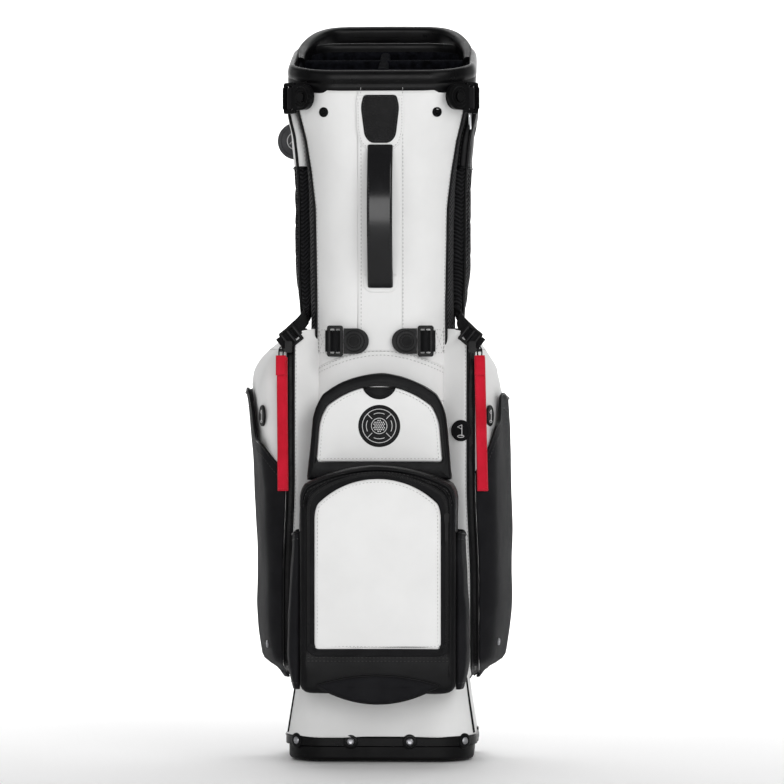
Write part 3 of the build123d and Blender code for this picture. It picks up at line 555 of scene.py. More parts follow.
def signed_power(value, power):
    return abs(value) ** power * (1 if value > 0 else -1)


def in_table(table, level):
    """Straight-line value between the rows of a two-column table."""
    if level <= table[0][0]:
        return table[0][1]
    for low, high in zip(table, table[1:]):
        if level <= high[0]:
            return low[1] + (high[1] - low[1]) * (level - low[0]) / (high[0] - low[0])
    return table[-1][1]


def along_table(table, level):
    """Smooth values between the rows of a table whose first column is the level."""
    level = min(max(level, table[0][0]), table[-1][0])
    k = 0
    while k < len(table) - 2 and table[k + 1][0] < level:
        k += 1
    low, high = table[k], table[k + 1]
    before, after = table[max(k - 1, 0)], table[min(k + 2, len(table) - 1)]
    span = high[0] - low[0]
    t = (level - low[0]) / span
    values = []
    for v0, v1, vb, va in zip(low[1:], high[1:], before[1:], after[1:]):
        slope_low = (v1 - vb) / (high[0] - before[0]) * span
        slope_high = (va - v0) / (after[0] - low[0]) * span
        values.append(
            (2 * t**3 - 3 * t**2 + 1) * v0 + (t**3 - 2 * t**2 + t) * slope_low
            + (-2 * t**3 + 3 * t**2) * v1 + (t**3 - t**2) * slope_high
        )
    return values


def ripple(point, size, amount, seed=0.0):
    """Soft, repeatable unevenness at a point."""
    return noise.noise(Vector(point) / size + Vector((seed, seed * 1.7, -seed))) * amount


# ================================================================ the tube's surface
# Height, half width, front, back, corner radius: the frame's own tube
TUBE = (
    (31, 115, -96, 93, 48), (110, 104, -93, 88, 50), (300, 90, -90, 84, 52), (560, 86, -88, 83, 54),
    (700, 88, -91, 86, 56), (760, 94, -95, 91, 57), (800, 104, -100, 96, 59), (880, 110, -103, 101, 60),
)
FRONT_EDGE = ((110, 79), (560, 79), (677, 81), (721, 86), (759, 92), (796, 101), (850, 108))
TUBE_BACK = 40
COLLAR_SLOPE = radians(14.4)
COLLAR_MID = 868


def rim(section, s):
    """Point and outward direction at a distance s round the section, from the front's middle to +x."""
    half, front, back, corner = section
    flat, arc, side = half - corner, corner * pi / 2, back - front - 2 * corner
    sign = 1 if s >= 0 else -1
    s = abs(s)
    if s <= flat:
        return sign * s, front, 0, -1
    s -= flat
    if s <= arc:
        a, b = sin(s / corner), cos(s / corner)
        return sign * (flat + corner * a), front + corner - corner * b, sign * a, -b
    s -= arc
    if s <= side:
        return sign * half, front + corner + s, sign, 0
    s -= side
    if s <= arc:
        a, b = sin(s / corner), cos(s / corner)
        return sign * (flat + corner * b), back - corner + corner * a, sign * b, a
    return sign * (flat - s + arc), back, 0, 1


def rim_length(section):
    half, front, back, corner = section
    return 2 * (half - corner) + pi * corner + back - front - 2 * corner


def s_at_x(section, x):
    """Distance round the front of the section to a given x."""
    half, _, _, corner = section
    flat = half - corner
    s = min(abs(x), flat)
    if abs(x) > flat:
        s += corner * asin(min((abs(x) - flat) / corner, 1))
    return s if x >= 0 else -s


def s_at_y(section, y):
    half, front, _, corner = section
    return half - corner + corner * pi / 2 + y - front - corner


def tube_at(s, z, grow=0.0):
    x, y, nx, ny = rim(along_table(TUBE, z), s)
    return Vector((x + nx * grow, y + ny * grow, z))


def front_depth(x, z):
    """Depth of the tube's front surface under a point of the front view."""
    section = along_table(TUBE, z)
    return rim(section, s_at_x(section, x))[1]


def collar_height(y, down=0.0):
    """Height of the collar's sloping top plane at a depth, or a distance below it."""
    return COLLAR_MID + y * tan(COLLAR_SLOPE) - down / cos(COLLAR_SLOPE)


def collar_point(x, y, h):
    """A point given on the collar's sloping plane, h above it."""
    a, b = sin(COLLAR_SLOPE), cos(COLLAR_SLOPE)
    return Vector((x, y * b - h * a, COLLAR_MID + y * a + h * b))


def edge_s(z):
    """Distance round to the front panel's edge."""
    return s_at_x(along_table(TUBE, z), in_table(FRONT_EDGE, z))


def back_s(z):
    """Distance round to where the back panel starts."""
    return s_at_y(along_table(TUBE, z), TUBE_BACK)


def front_place(z, part):
    return edge_s(z) * (2 * part - 1)


def flank_place(side):
    return lambda z, part: side * (edge_s(z) + (back_s(z) - edge_s(z)) * part)


def back_place(z, part):
    length = rim_length(along_table(TUBE, z))
    s = length - abs(2 * part - 1) * (length - back_s(z))
    return -s if part < 0.5 else s


def apron_place(z, part):
    return back_s(z) * (2 * part - 1)


def around_place(z, part):
    return rim_length(along_table(TUBE, z)) * (2 * part - 1)


def wrapped(place, low, high, columns, rows, grow=0.0, soft=0.5, puff=0.0, seed=0.0):
    """Rows of points on the tube; high is a height, or a distance below the collar if negative."""

    def point(up, part):
        top = collar_height(tube_at(place(830, part), 830).y, -high) if high < 0 else high
        z = low + (top - low) * up
        x, y, nx, ny = rim(along_table(TUBE, z), place(z, part))
        edge = 1 - abs(2 * part - 1) ** 6
        lift = grow + (puff + ripple((x, y, z), 70, soft, seed)) * edge
        lift += ripple((x, y, z), 26, soft * 0.3, seed)
        return x + nx * lift, y + ny * lift, z

    return surface(rows, columns, point)


# ================================================================ tube panels
def tube_seams(place, heights, grow, shift=0):
    """Left and right lines on the tube at a distance round it."""
    return [[tube_at(side * (place(z) - shift), z, grow) for z in heights] for side, _ in SIDES]


def quilted_back():
    """Padded back panel with sewn channels along the spine."""
    rows = wrapped(back_place, 104, -24, 65, 150, soft=1.0, puff=3.0, seed=9)
    for p in [p for row in rows for p in row if p.y > 70]:
        channel = min(abs(abs(p.x) - 34), 6) / 6
        band = min(abs((p.z - 150) % 110 - 55), 5) / 5 if 34 < abs(p.x) < 80 else 1
        p.y -= 2.2 * (1 - min(smooth_step(channel), smooth_step(band)))
    return rows


front_rows = wrapped(front_place, 104, -24, 61, 120, soft=0.7)
skin("front_skin", front_rows, "white_leather", 2.6, replaces="front_panel")
for side, word in SIDES:
    rows = wrapped(flank_place(side), 104, -24, 40, 150, soft=1.6, puff=2.2, seed=side * 3)
    skin(f"{word}_flank_skin", rows, "black_mesh", 2.6, replaces="flank_panels" if side < 0 else "")
skin("back_skin", quilted_back(), "air_mesh", 2.6, replaces="back_panel")

# Hip pad sewn on the back panel, between the legs and the bag
HIP_LOW, HIP_HIGH = 236, 512


def hip_point(up, turn):
    z = HIP_LOW + (HIP_HIGH - HIP_LOW) * up
    end = smooth_step(min(up, 1 - up) * 9)
    groove = 1 - smooth_step(min(abs((z - HIP_LOW) % 46 - 23), 5) / 5)
    wide = (35 + 11 * end) * signed_power(cos(turn), 0.55)
    seam = 1 - smooth_step(min(abs(abs(wide) - 18 - 6 * groove), 4) / 4)
    crown = max(0, sin(turn)) ** 0.7 * (3.5 + 10.5 * end) - (3.2 * groove + 2.2 * seam) * max(0, sin(turn))
    return wide, along_table(TUBE, z)[2] - 1.5 + crown + ripple((wide, 0, z), 26, 0.8, 33), z


hip_loops = [[Vector(hip_point(r / 109, 2 * pi * c / 48)) for c in range(48)] for r in range(110)]
hip_pad = piece("hip_pad", [loft(hip_loops)], "black_mesh")
hip_edges = [[loop[column] + Vector((0, 1.2, 0)) for loop in hip_loops[2:-2]] for column in (24, 0)]
pipe("hip_pad_binding", hip_edges, 1.6, "black_leather")
pipe("front_piping", tube_seams(edge_s, range(112, 836, 6), 0.7), 1.7, "black_leather")
pipe("back_piping", tube_seams(back_s, range(112, 842, 8), 0.7), 1.7, "black_leather")


# Overlapped centre panel, whose left edge is a folded seam, and the arched panel sewn over it
def overlap_point(up, part):
    x = -28.5 + 55.5 * part
    z = 500 + (collar_height(-100, 25) - 500) * up
    rise = 1.3 * min(1, (1 - part) * 4.2) if part > 0 else 0.1
    return x, front_depth(x, z) - rise, z


def arch_height(x, top):
    return top - 21 * (abs(x) / 76) ** 1.8


def arch_point(up, part):
    x = -77.5 + 155 * part
    z = 440 + (arch_height(x, 503.5) - 440) * up
    return x, front_depth(x, z) - (1.1 if up < 1 else 0.1), z


skin("centre_overlap", surface(100, 22, overlap_point), "white_leather", 1.0)
skin("arched_front_panel", surface(24, 61, arch_point), "white_leather", 1.0)
stitch_lines = []
for x, lift in ((-23.5, 1.5), (27.5, 0.35)):
    stitch_lines.append([(x, front_depth(x, z) - lift, z) for z in range(504, 828, 6)])
for top in (501, 496):
    arc = [(x, arch_height(x, top)) for x in (-76 + 3.8 * k for k in range(41))]
    stitch_lines.append([(x, front_depth(x, z) - 1.4, z) for x, z in arc])
BOX_IN, BOX_OUT, BOX_LOW, BOX_HIGH = 66, 76, 499, 527
CLIP_BOX = (
    (BOX_IN, BOX_LOW), (BOX_OUT, BOX_LOW), (BOX_OUT, BOX_HIGH), (BOX_IN, BOX_HIGH),
    (BOX_IN, BOX_LOW), (BOX_OUT, BOX_HIGH), (BOX_OUT, BOX_LOW), (BOX_IN, BOX_HIGH),
)
for (side, _), edge_line in zip(SIDES, tube_seams(edge_s, range(500, 826, 6), 0.3, 4)):
    box = [tube_at(side * s_at_x(along_table(TUBE, z), x), z, 0.5) for x, z in CLIP_BOX]
    stitch_lines += [edge_line, box]
stitches("front_stitching", stitch_lines, "white_thread_painted_shade", size=(3.0, 1.7, 0.4))


# ================================================================ apron, base cup and foot
def apron_seam(z):
    """Distance round to the seam at the apron's rounded corner."""
    half, _, _, corner = along_table(TUBE, z)
    return half - corner + corner * pi / 2 * 0.80


BASE_TILT = tan(radians(27))
apron_rows = wrapped(apron_place, 30.5, 112, 90, 26, soft=0.8, grow=1.6)
skin("apron_skin", apron_rows, "white_leather", 3, replaces="lower_front_apron")
low_rows = wrapped(back_place, 31, 112, 60, 24, soft=0.6)
for p in [p for row in low_rows for p in row if p.y > 66]:
    p.z = max(p.z, 20.4 + (p.y - 66) * BASE_TILT + 11.5 * (112 - p.z) / 81)
skin("lower_back_skin", low_rows, "black_leather", 3, replaces="lower_back_panel")
pipe("apron_piping", tube_seams(apron_seam, range(34, 112, 4), 1.0), 2.1, "black_leather")
apron_lines = tube_seams(apron_seam, range(36, 110, 4), 0.5, 6)
stitches("apron_stitching", apron_lines, "white_thread_painted_shade", size=(3.4, 1.6, 0.45))

CUP_WIDE, CUP_DEEP, CUP_CORNER = 235, 194, 50
cut = CUP_CORNER * (1 - sin(pi / 4))
corner_x, corner_y = CUP_WIDE / 2 - cut, CUP_DEEP / 2 - cut
RIVETS = (
    (-36, -CUP_DEEP / 2, 0, -1), (36, -CUP_DEEP / 2, 0, -1),
    (-corner_x, -corner_y, -1, -1), (corner_x, -corner_y, 1, -1),
    (-CUP_WIDE / 2, 10, -1, 0), (CUP_WIDE / 2, 10, 1, 0),
)
dome = [(4.4, -0.5), (4.5, 0.5), (4.0, 1.2), (2.6, 1.7), (2.4, 1.35), (1.2, 1.2), (0, 1.2)]
boss = [(9.5, -2), (9.2, 0.1), (8.0, 0.8), (5.4, 0.8), (5.0, 0.2), (0, 0.2)]
heads = [lathe(dome, (x, y, 25.7), (nx, ny, 0), 24) for x, y, nx, ny in RIVETS]
bosses = [lathe(boss, (x, y, 25.7), (nx, ny, 0), 32) for x, y, nx, ny in RIVETS]
piece("base_rivet_heads", heads, "steel", replaces="base_rivets")
piece("base_rivet_bosses", bosses, "black_plastic")
cup_lip = [(-6, 29.5), (0.5, 29.8), (1.0, 30.6), (0.4, 31.8), (-3, 32.6), (-6, 32.4)]
lip = ring_sweep(CUP_WIDE, CUP_DEEP, CUP_CORNER, cup_lip, lambda x, y, h: Vector((x, y, h)))
piece("base_cup_lip", [lip], "black_plastic")


# ================================================================ inside of the tube
def divider_rows(depth):
    """Rows of a sagging fleece wall across the tube."""

    def point(up, part):
        z = 45 + (collar_height(depth, 35) - 45) * up
        half, _, back, corner = along_table(TUBE, z)
        reach = half - 5
        past = depth - (back - corner)
        if past > 0:
            reach += sqrt(max(corner**2 - past**2, 1)) - corner
        x = reach * (2 * part - 1)
        return x, depth + ripple((x, depth, z), 60, 2.0, 5), z

    return surface(60, 40, point)


lining = wrapped(around_place, 42, -27, 97, 60, grow=-3.4, soft=0.8, seed=4)
skin("tube_lining", lining, "fleece", 0.8)
skin("front_long_divider", divider_rows(-28.3), "fleece", 2.0, replaces="long_dividers", axis=(0, -200))
skin("rear_long_divider", divider_rows(37.5), "fleece", 2.0, axis=(0, -200))
floor_section = along_table(TUBE, 42)
pad_loops = []
for grow, z in ((-4.5, 40.3), (-3.8, 41.5), (-4.2, 43.2), (-7, 44.4), (-40, 44.9)):
    loop = []
    for k in range(96):
        x, y, nx, ny = rim(floor_section, rim_length(floor_section) * (2 * k / 96 - 1))
        loop.append((x + nx * grow, y + ny * grow, z))
    pad_loops.append(loop)
piece("bottom_cushion", [loft(pad_loops)], "foam", replaces="bottom_pad")

# Fleece-covered divider bars
PLANE_UP = (0, -sin(COLLAR_SLOPE), cos(COLLAR_SLOPE))
bar_runs = [[collar_point(x, y_bar, -22) for x in range(-102, 103, 6)] for y_bar in (-38, 30)]
bar_runs.append([collar_point(0, y, -22) for y in range(-34, 97, 6)])
bars = [sweep(run, round_section(12.5, 24, 5.5, 6), PLANE_UP) for run in bar_runs]
frame_profile = [(0, -26), (-5, -26), (-5.5, -14), (-3, -10.5), (0, -10)]
bars.append(ring_sweep(213, 198.8, 53, frame_profile, collar_point))
fluff = piece("divider_bars", bars, "fleece", replaces="divider_grid").modifiers.new("smooth", "SUBSURF")
fluff.levels = fluff.render_levels = 1

# ================================================================ collar and grab handle
COLLAR_PROFILE = [
    (-0.4, -28), (0.2, -27), (0.4, -22), (0.4, -17.5), (-0.3, -16.6), (-0.3, -15.6), (0.5, -14.8),
    (0.4, -9.5), (-0.5, -5.2), (-2.0, -2.4), (-4.0, -0.7), (-6.0, -0.2), (-7.6, -1.2), (-8.7, -3.6),
    (-9, -7), (-9, -28),
]
collar = ring_sweep(231, 216.8, 62, COLLAR_PROFILE, collar_point)
piece("collar_shell", [collar], "black_plastic", replaces="collar_ring", sharp=50)
collar_out = (0, -cos(COLLAR_SLOPE), -sin(COLLAR_SLOPE))
small_dome = [(4.2, -2), (4.2, 0.4), (3.2, 1.5), (1.4, 1.9), (0, 1.9)]
rivets = [lathe(small_dome, collar_point(x, -106.4, -27), collar_out, 20) for x in (-54, 54)]
piece("collar_rivets", rivets, "black_plastic")
HANDLE_LINE = (
    (105, 24, -14), (105, 50, -10), (101, 74, -6), (93, 97, -1), (84, 116, 2), (71, 131, 3.6), (54, 136, 4.2),
    (0, 137, 4.4),
)


def handle_girth(t):
    middle = min(t, 1 - t)
    return 0.85 + 0.2 * smooth_step(middle * 5), 1.0 + 0.22 * smooth_step(middle * 4)


handle_run = [collar_point(x, y, h) for x, y, h in HANDLE_LINE]
handle_run += [collar_point(-x, y, h) for x, y, h in reversed(HANDLE_LINE[:-1])]
handle_run = resample(rounded(handle_run, 26, 8, closed=False), 90, closed=False)
handle = sweep(handle_run, round_section(15, 18.5, 6, 6), PLANE_UP, handle_girth)
piece("grab_handle", [handle], "black_plastic", replaces="rear_grab_handle")
inlay = sweep([collar_point(x, 129.2, 6) for x in range(-44, 45, 4)], round_section(3.0, 7.5, 1.4), PLANE_UP)
piece("grab_handle_inlay", [inlay], "rubber")


# ================================================================ carry handle on the front
def mirrored(right):
    return list(right) + [(-x, z) for x, z in reversed(right)]


def arc_through(first, middle, last, count):
    """Points (0, y, z) on the circle through three (y, z) points."""
    (ax, ay), (bx, by), (cx, cy) = first, middle, last
    d = 2 * (ax * (by - cy) + bx * (cy - ay) + cx * (ay - by))
    ux = ((ax**2 + ay**2) * (by - cy) + (bx**2 + by**2) * (cy - ay) + (cx**2 + cy**2) * (ay - by)) / d
    uy = ((ax**2 + ay**2) * (cx - bx) + (bx**2 + by**2) * (ax - cx) + (cx**2 + cy**2) * (bx - ax)) / d
    start = atan2(ay - uy, ax - ux)
    span = (atan2(cy - uy, cx - ux) - start + pi) % (2 * pi) - pi
    radius = hypot(ax - ux, ay - uy)
    return ring_line((0, ux, uy), ((0, 1, 0), (0, 0, 1)), radius, count - 1, start, start + span)


def inner_line(outline, distance, count=160):
    """Even points at a distance inside a front-view outline."""
    return inset(resample(outline, count), distance)


def closed_up(line):
    return line + line[:1]


tab_outline = rounded(mirrored(((14, 745), (24, 752), (29, 770), (29, 812))), [8, 8, 8, 3, 3, 8, 8, 8], 6)
low_tab = rounded(mirrored(((13, 572), (21, 578), (21, 594))), [6, 7, 2, 2, 7, 6], 6)
patch_outline = rounded(mirrored(((12, 754), (19, 762), (23.5, 798), (20, 812))), [5, 5, 6, 4, 4, 6, 5, 5], 6)
tab_profile = [(0, 0.4), (0, 2.2), (0.7, 3.0), (2.0, 3.3), (4, 3.3)]
tabs = [relief(outline, tab_profile, front_depth) for outline in (tab_outline, low_tab)]
piece("handle_end_tabs", tabs, "white_leather", replaces="handle_tabs")
patch = relief(patch_outline, [(0, 3.0), (0, 3.9), (0.6, 4.5), (1.6, 4.7)], front_depth)
piece("grained_patch", [patch], "pebbled", replaces="spine_patch")
FINE = (2.4, 1.2, 0.35)
patch_edge = on_front(closed_up(resample(inner_line(patch_outline, 2.2, 80), 80)), front_depth, 4.8)
stitches("patch_stitching", [patch_edge], "black_thread", size=FINE)
tab_edge = [p for p in resample(inner_line(tab_outline, 2.4, 80), 80) if p.y < 808]
stitches("tab_stitching", [on_front(tab_edge, front_depth, 3.4)], "white_thread_painted_shade", size=FINE)

grip_run = arc_through((-97, 750), (-119.5, 665), (-90, 580), 60)
crowned = []
for a, b in round_section(31, 6.5, 2.8, 6):
    crowned.append(Vector((a, b + 1.6 * (1 - (a / 15.5) ** 2) * (1 if b > 0 else 0.4))))
grip = sweep(grip_run, [(p.x, p.y) for p in resample(crowned, 48)], (0, -1, 0))
piece("grip_strap", [grip], "gloss_leather", replaces="spine_handle_grip")
grip_edge = arc_through((-97, 746), (-119.5, 665), (-90, 584), 60)
grip_lines = [[p + Vector((x, -4.3, 0)) for p in grip_edge] for x in (-12.8, 12.8)]
stitches("grip_stitching", grip_lines, "black_thread", size=(3.0, 1.4, 0.35))
stud = [(6.2, -0.6), (6.2, 0.7), (5.4, 1.5), (3.9, 1.5), (3.4, 0.8), (2.8, 0.8), (2.2, 1.7), (0, 1.9)]
stud_section = along_table(TUBE, 792)
caps = []
for x in (-69, 69):
    _, y, nx, ny = rim(stud_section, s_at_x(stud_section, x))
    caps.append(lathe(stud, (x, y, 792), (nx, ny, 0), 28))
piece("snap_stud_caps", caps, "black_plastic", replaces="snap_studs")

# ================================================================ side pockets
# Height, half width, front, back of each side pocket as it hangs
POCKET = {
    -1: (
        (104, 124, -64, 62), (124, 150, -80, 80), (240, 156, -85, 84), (373, 161, -86, 85),
        (440, 165, -86, 85), (464, 167, -86, 84), (482, 162, -85, 83), (496, 153, -84, 80),
        (508, 140, -82, 75), (517, 127, -80, 68), (523, 119, -75, 62),
    ),
    1: (
        (104, 122, -64, 62), (124, 150, -80, 80), (240, 158, -84, 83), (373, 155, -86, 84),
        (441, 149, -86, 84), (479, 143, -85, 82), (503, 129, -82, 78), (523, 119, -75, 62),
    ),
}
# How far out along the pocket's front the sleeve's top edge is, and its height
SLEEVE_TOP = {
    -1: ((0.0, 346), (0.33, 358), (0.6, 371), (0.74, 386), (0.86, 408), (0.95, 432), (1.0, 450)),
    1: ((0.0, 346), (0.3, 360), (0.55, 375), (0.68, 395), (0.78, 418), (0.88, 438), (1.0, 443)),
}
SLEEVE_LOW = 102
SLEEVE_FROM = 114.6
SLEEVE_COLUMNS = 80
POCKET_ROWS = 110
ZIP_IN, ZIP_OUT = 106, 114
# Distance past the pocket's end rows, and how far towards the tube they are drawn
GATHER_LOW = ((6.0, 1.02), (4.0, 0.45))
GATHER_TOP = ((3.0, 0.25), (5.0, 0.6), (5.5, 1.02))


def zip_drift(z):
    """How much further out the side zip runs at a height than at its top."""
    return 4.5 * smooth_step((350 - z) / 140)


def pocket_path(side, z, grow=0.0):
    """Front-to-back line of a side pocket at a height, as (|x|, y)."""
    half, near, far = along_table(POCKET[side], z)
    half += grow
    near -= grow
    far += grow
    knee = max(half - 36, 108.5)
    corners = [
        (74, near + 20), (104, near + 2), (knee, near + 4), (max(half - 22, knee + 2), near + 15),
        (max(half - 13, knee + 4), near + 46), (half - 1, far - 58), (half - 4, far - 24),
        (max(half - 26, 106), far - 2), (84, far), (68, far - 14),
    ]
    return rounded(corners, [0, 8, 14, 14, 30, 30, 22, 16, 10, 0], 6, closed=False)


def cut_at(path, x):
    """Number and point of the first place where the path reaches a half width."""
    for k, (a, b) in enumerate(zip(path, path[1:])):
        if a.x < x <= b.x:
            return k, a.lerp(b, (x - a.x) / (b.x - a.x))
    return len(path) // 2, path[len(path) // 2].copy()


def span_of(path, x_from, x_to, count):
    """Even points of the path between two half widths; None stands for the path's own end."""
    start, first = cut_at(path, x_from) if x_from else (0, path[0])
    if not x_to:
        return resample([first] + path[start + 1 :], count, closed=False)
    end, last = cut_at(path, x_to)
    return resample([first] + path[start + 1 : end + 1] + [last], count, closed=False)


def tube_towards(x, y, z):
    """Point on the tube's surface in the direction of (x, y)."""
    section = along_table(TUBE, z)
    spots = [rim(section, rim_length(section) * k / 239) for k in range(240)]
    return min(spots, key=lambda spot: abs(atan2(spot[1], spot[0]) - atan2(y, abs(x))))[:2]


def moved_out(side, p, z, amount):
    """A point of a pocket's line, moved away from the tube's middle and put at its height and side."""
    out = p.normalized() * amount
    return Vector((side * (p.x + out.x), p.y + out.y, z))


def level_out(p, amount):
    return p + Vector((p.x, p.y, 0)).normalized() * amount


def drawn_in(side, row, z, part):
    """A pocket's end row gathered towards the tube."""
    gathered = []
    for p in row:
        x, y = tube_towards(p.x, p.y, z)
        gathered.append(Vector((side * (abs(p.x) + (x - abs(p.x)) * part), p.y + (y - p.y) * part, z)))
    return gathered


def pocket_rows(side, x_from, x_to, count, puff, seed):
    """Rows of one panel of a side pocket, with its top and bottom drawn in to the tube."""
    low, high = POCKET[side][0][0], POCKET[side][-1][0]
    rows = []
    for r in range(POCKET_ROWS):
        up = r / (POCKET_ROWS - 1)
        z = low + (high - low) * up
        start = x_from + zip_drift(z) if x_from else None
        end = x_to + zip_drift(z) if x_to else None
        loose = 0.25 + 0.75 * smooth_step((z - 330) / 60)
        row = []
        for k, p in enumerate(span_of(pocket_path(side, z), start, end, count)):
            edge = (1 - abs(2 * k / (count - 1) - 1) ** 4) * (1 - abs(2 * up - 1) ** 8)
            folds = ripple((p.x * side, p.y, z * 1.4), 38, 2.2, seed)
            folds += ripple((p.x * side, p.y, z * 2), 15, 0.7, seed + 3)
            row.append(moved_out(side, p, z, (puff * 0.6 + folds * loose) * edge))
        rows.append(row)
    foot = [drawn_in(side, rows[0], low - drop, part) for drop, part in GATHER_LOW]
    return foot + rows + [drawn_in(side, rows[-1], high + rise, part) for rise, part in GATHER_TOP]


def sleeve_levels(side):
    """Height of the sleeve's top edge at each of its columns."""
    reference = span_of(pocket_path(side, 400), SLEEVE_FROM, None, SLEEVE_COLUMNS)
    corner_x = max(p.x for p in reference)
    levels = []
    for p in reference:
        if p.y < 0 or p.x < corner_x - 20:
            reach = (p.x - SLEEVE_FROM) / (corner_x - 12 - SLEEVE_FROM)
            reach = min(reach, 0.72 + 0.28 * smooth_step((p.y + 50) / 30))
            levels.append(in_table(SLEEVE_TOP[side], max(reach, 0)) + 6)
        else:
            levels.append(SLEEVE_TOP[side][-1][1] + 6 - 6 * sin(pi * min(max((p.y + 20) / 90, 0), 1)))
    for _ in range(6):
        levels[1:-1] = [(a + b + c) / 3 for a, b, c in zip(levels, levels[1:], levels[2:])]
    return levels


SPANS = {}


def span_at(side, z, k):
    """A point of the sleeve's line at a height, from lines kept for every 4 mm."""
    low = int(z // 4) * 4
    for level in (low, low + 4):
        if (side, level) not in SPANS:
            path = pocket_path(side, level)
            SPANS[side, level] = span_of(path, SLEEVE_FROM + zip_drift(level), None, SLEEVE_COLUMNS)
    return SPANS[side, low][k].lerp(SPANS[side, low + 4][k], (z - low) / 4)


def sleeve_rows(side):
    levels = sleeve_levels(side)
    rows = []
    for r in range(60):
        up = r / 59
        row = []
        for k, level in enumerate(levels):
            z = SLEEVE_LOW + (level - SLEEVE_LOW) * up
            along = k / (SLEEVE_COLUMNS - 1)
            spread = smooth_step(min(along, 1 - along) * 7)
            p = span_at(side, z, k)
            place = (p.x * side, p.y, z)
            stand = 1.6 + (2.6 + 4.0 * up**5 + ripple(place, 55, 1.6, 50 + side)) * spread
            row.append(moved_out(side, p, z, stand + ripple(place, 17, 0.35, 54 + side)))
        rows.append(row)
    foot = [Vector((p.x * 0.97, p.y * 0.97, SLEEVE_LOW - 5)) for p in rows[0]]
    return [foot] + rows


def side_run(rows, column, ends, forward):
    """One column of a panel, without its end rows, moved forward a little."""
    return [row[column] + Vector((0, -forward, 0)) for row in rows[ends:-ends]]


EYELET = [(4.4, -0.5), (4.5, 0.6), (3.6, 1.3), (2.4, 0.9), (1.9, -0.3), (0, -0.4)]
for side, word in SIDES:
    left = side < 0
    outer = pocket_rows(side, ZIP_OUT, None, 70, 1.5, 20 + side)
    gusset = pocket_rows(side, None, ZIP_IN, 16, 0.6, 30 + side)
    tape = pocket_rows(side, ZIP_IN, ZIP_OUT, 6, 0.0, 40)
    for row in tape:
        for k, p in enumerate(row):
            p.y += 0.9 * (1 - abs(2 * k / 5 - 1))
    skin(f"{word}_pocket_skin", outer, "white_leather", 2.6, replaces=f"{word}_side_pocket")
    skin(f"{word}_gusset_skin", gusset, "white_leather", 2.6, replaces="pocket_gussets" if left else "")
    skin(f"{word}_zip_tape", tape, "zip_tape", 2.0, replaces="side_zip_tracks" if left else "")
    zip_teeth(f"{word}_side_zip_teeth", [(row[2] + row[3]) / 2 for row in tape[3:-3]])
    edges = [side_run(outer, 0, 1, 0.6), side_run(gusset, -1, 1, 0.6)]
    edges += [[p + Vector((0, 0, 0.3)) for p in outer[-4]], outer[2]]
    pipe(f"{word}_pocket_piping", edges, 1.35, "black_leather")
    runs = [side_run(outer, 3, 4, 0.35), side_run(gusset, -2, 4, 0.35)]
    runs.append([below + level_out(p, 0.4) - p for p, below in zip(outer[-4], outer[-9])])
    stitches(f"{word}_pocket_stitching", runs, "white_thread_painted_shade", size=(3.0, 1.8, 0.38))

    sleeve = sleeve_rows(side)
    skin(f"{word}_sleeve_skin", sleeve, "neoprene", 2.2, replaces="side_pocket_sleeves" if left else "")
    pipe(f"{word}_sleeve_binding", [sleeve[-1]], 1.6, "black_leather")
    hems = [[level_out(p, 0.3) for p in sleeve[k]] for k in (-4, 2)]
    stitches(f"{word}_sleeve_stitching", hems, "black_thread")
    place = 12 if left else 14
    run = sleeve[9][place + 2] - sleeve[9][place - 2]
    direction = Vector((abs(run.y) * side, -abs(run.x), 0)).normalized()
    eyelet = lathe(EYELET, sleeve[9][place] + direction * 0.4, direction, 24)
    piece(f"{word}_drain_eyelet", [eyelet], "steel")

# ================================================================ badges
BADGE_RIM = [(12.9, -1.2), (13.0, 0.8), (12.4, 1.5), (11.0, 1.7), (10.6, 1.2), (0, 1.2)]
UP = Vector((0, 0, 1))


def small_badge(name, centre, outwards, replaces=""):
    """Round rubber badge with a plain moulded flag mark."""
    out = Vector(outwards).normalized()
    across = out.cross(UP).normalized()
    piece(name, [lathe(BADGE_RIM, centre, out, 40)], "badge", replaces=replaces)
    face = Vector(centre) + out * 1.3
    pole = [face + UP * height + across * -1.5 for height in (-7, 7)]
    flag = [face + UP * height + across * reach for height, reach in ((7, -1.5), (4.4, 4.5), (1.8, -1.5))]
    hole = ring_line(face + UP * -7, (across, UP * 0.35), 4.2)
    pipe(name + "_mark", [pole, flag, hole], 0.45, "badge_mark")


for side, word in SIDES:
    path = pocket_path(side, 422, 1.5)
    near = min((p for p in path if p.x > 118), key=lambda p: abs(p.y + 64))
    place = path.index(near)
    along = (path[place + 1] - path[place - 1]).normalized()
    replaces = "pocket_badges" if side < 0 else ""
    small_badge(f"{word}_flank_badge", (side * near.x, near.y, 422), (side * along.y, -along.x, 0), replaces)
near = min((p for p in pocket_path(1, 404, 0.8) if p.y < 0), key=lambda p: abs(p.x - 97.5))
small_badge("gusset_badge", (near.x, near.y, 404), (-0.35, -0.94, 0))


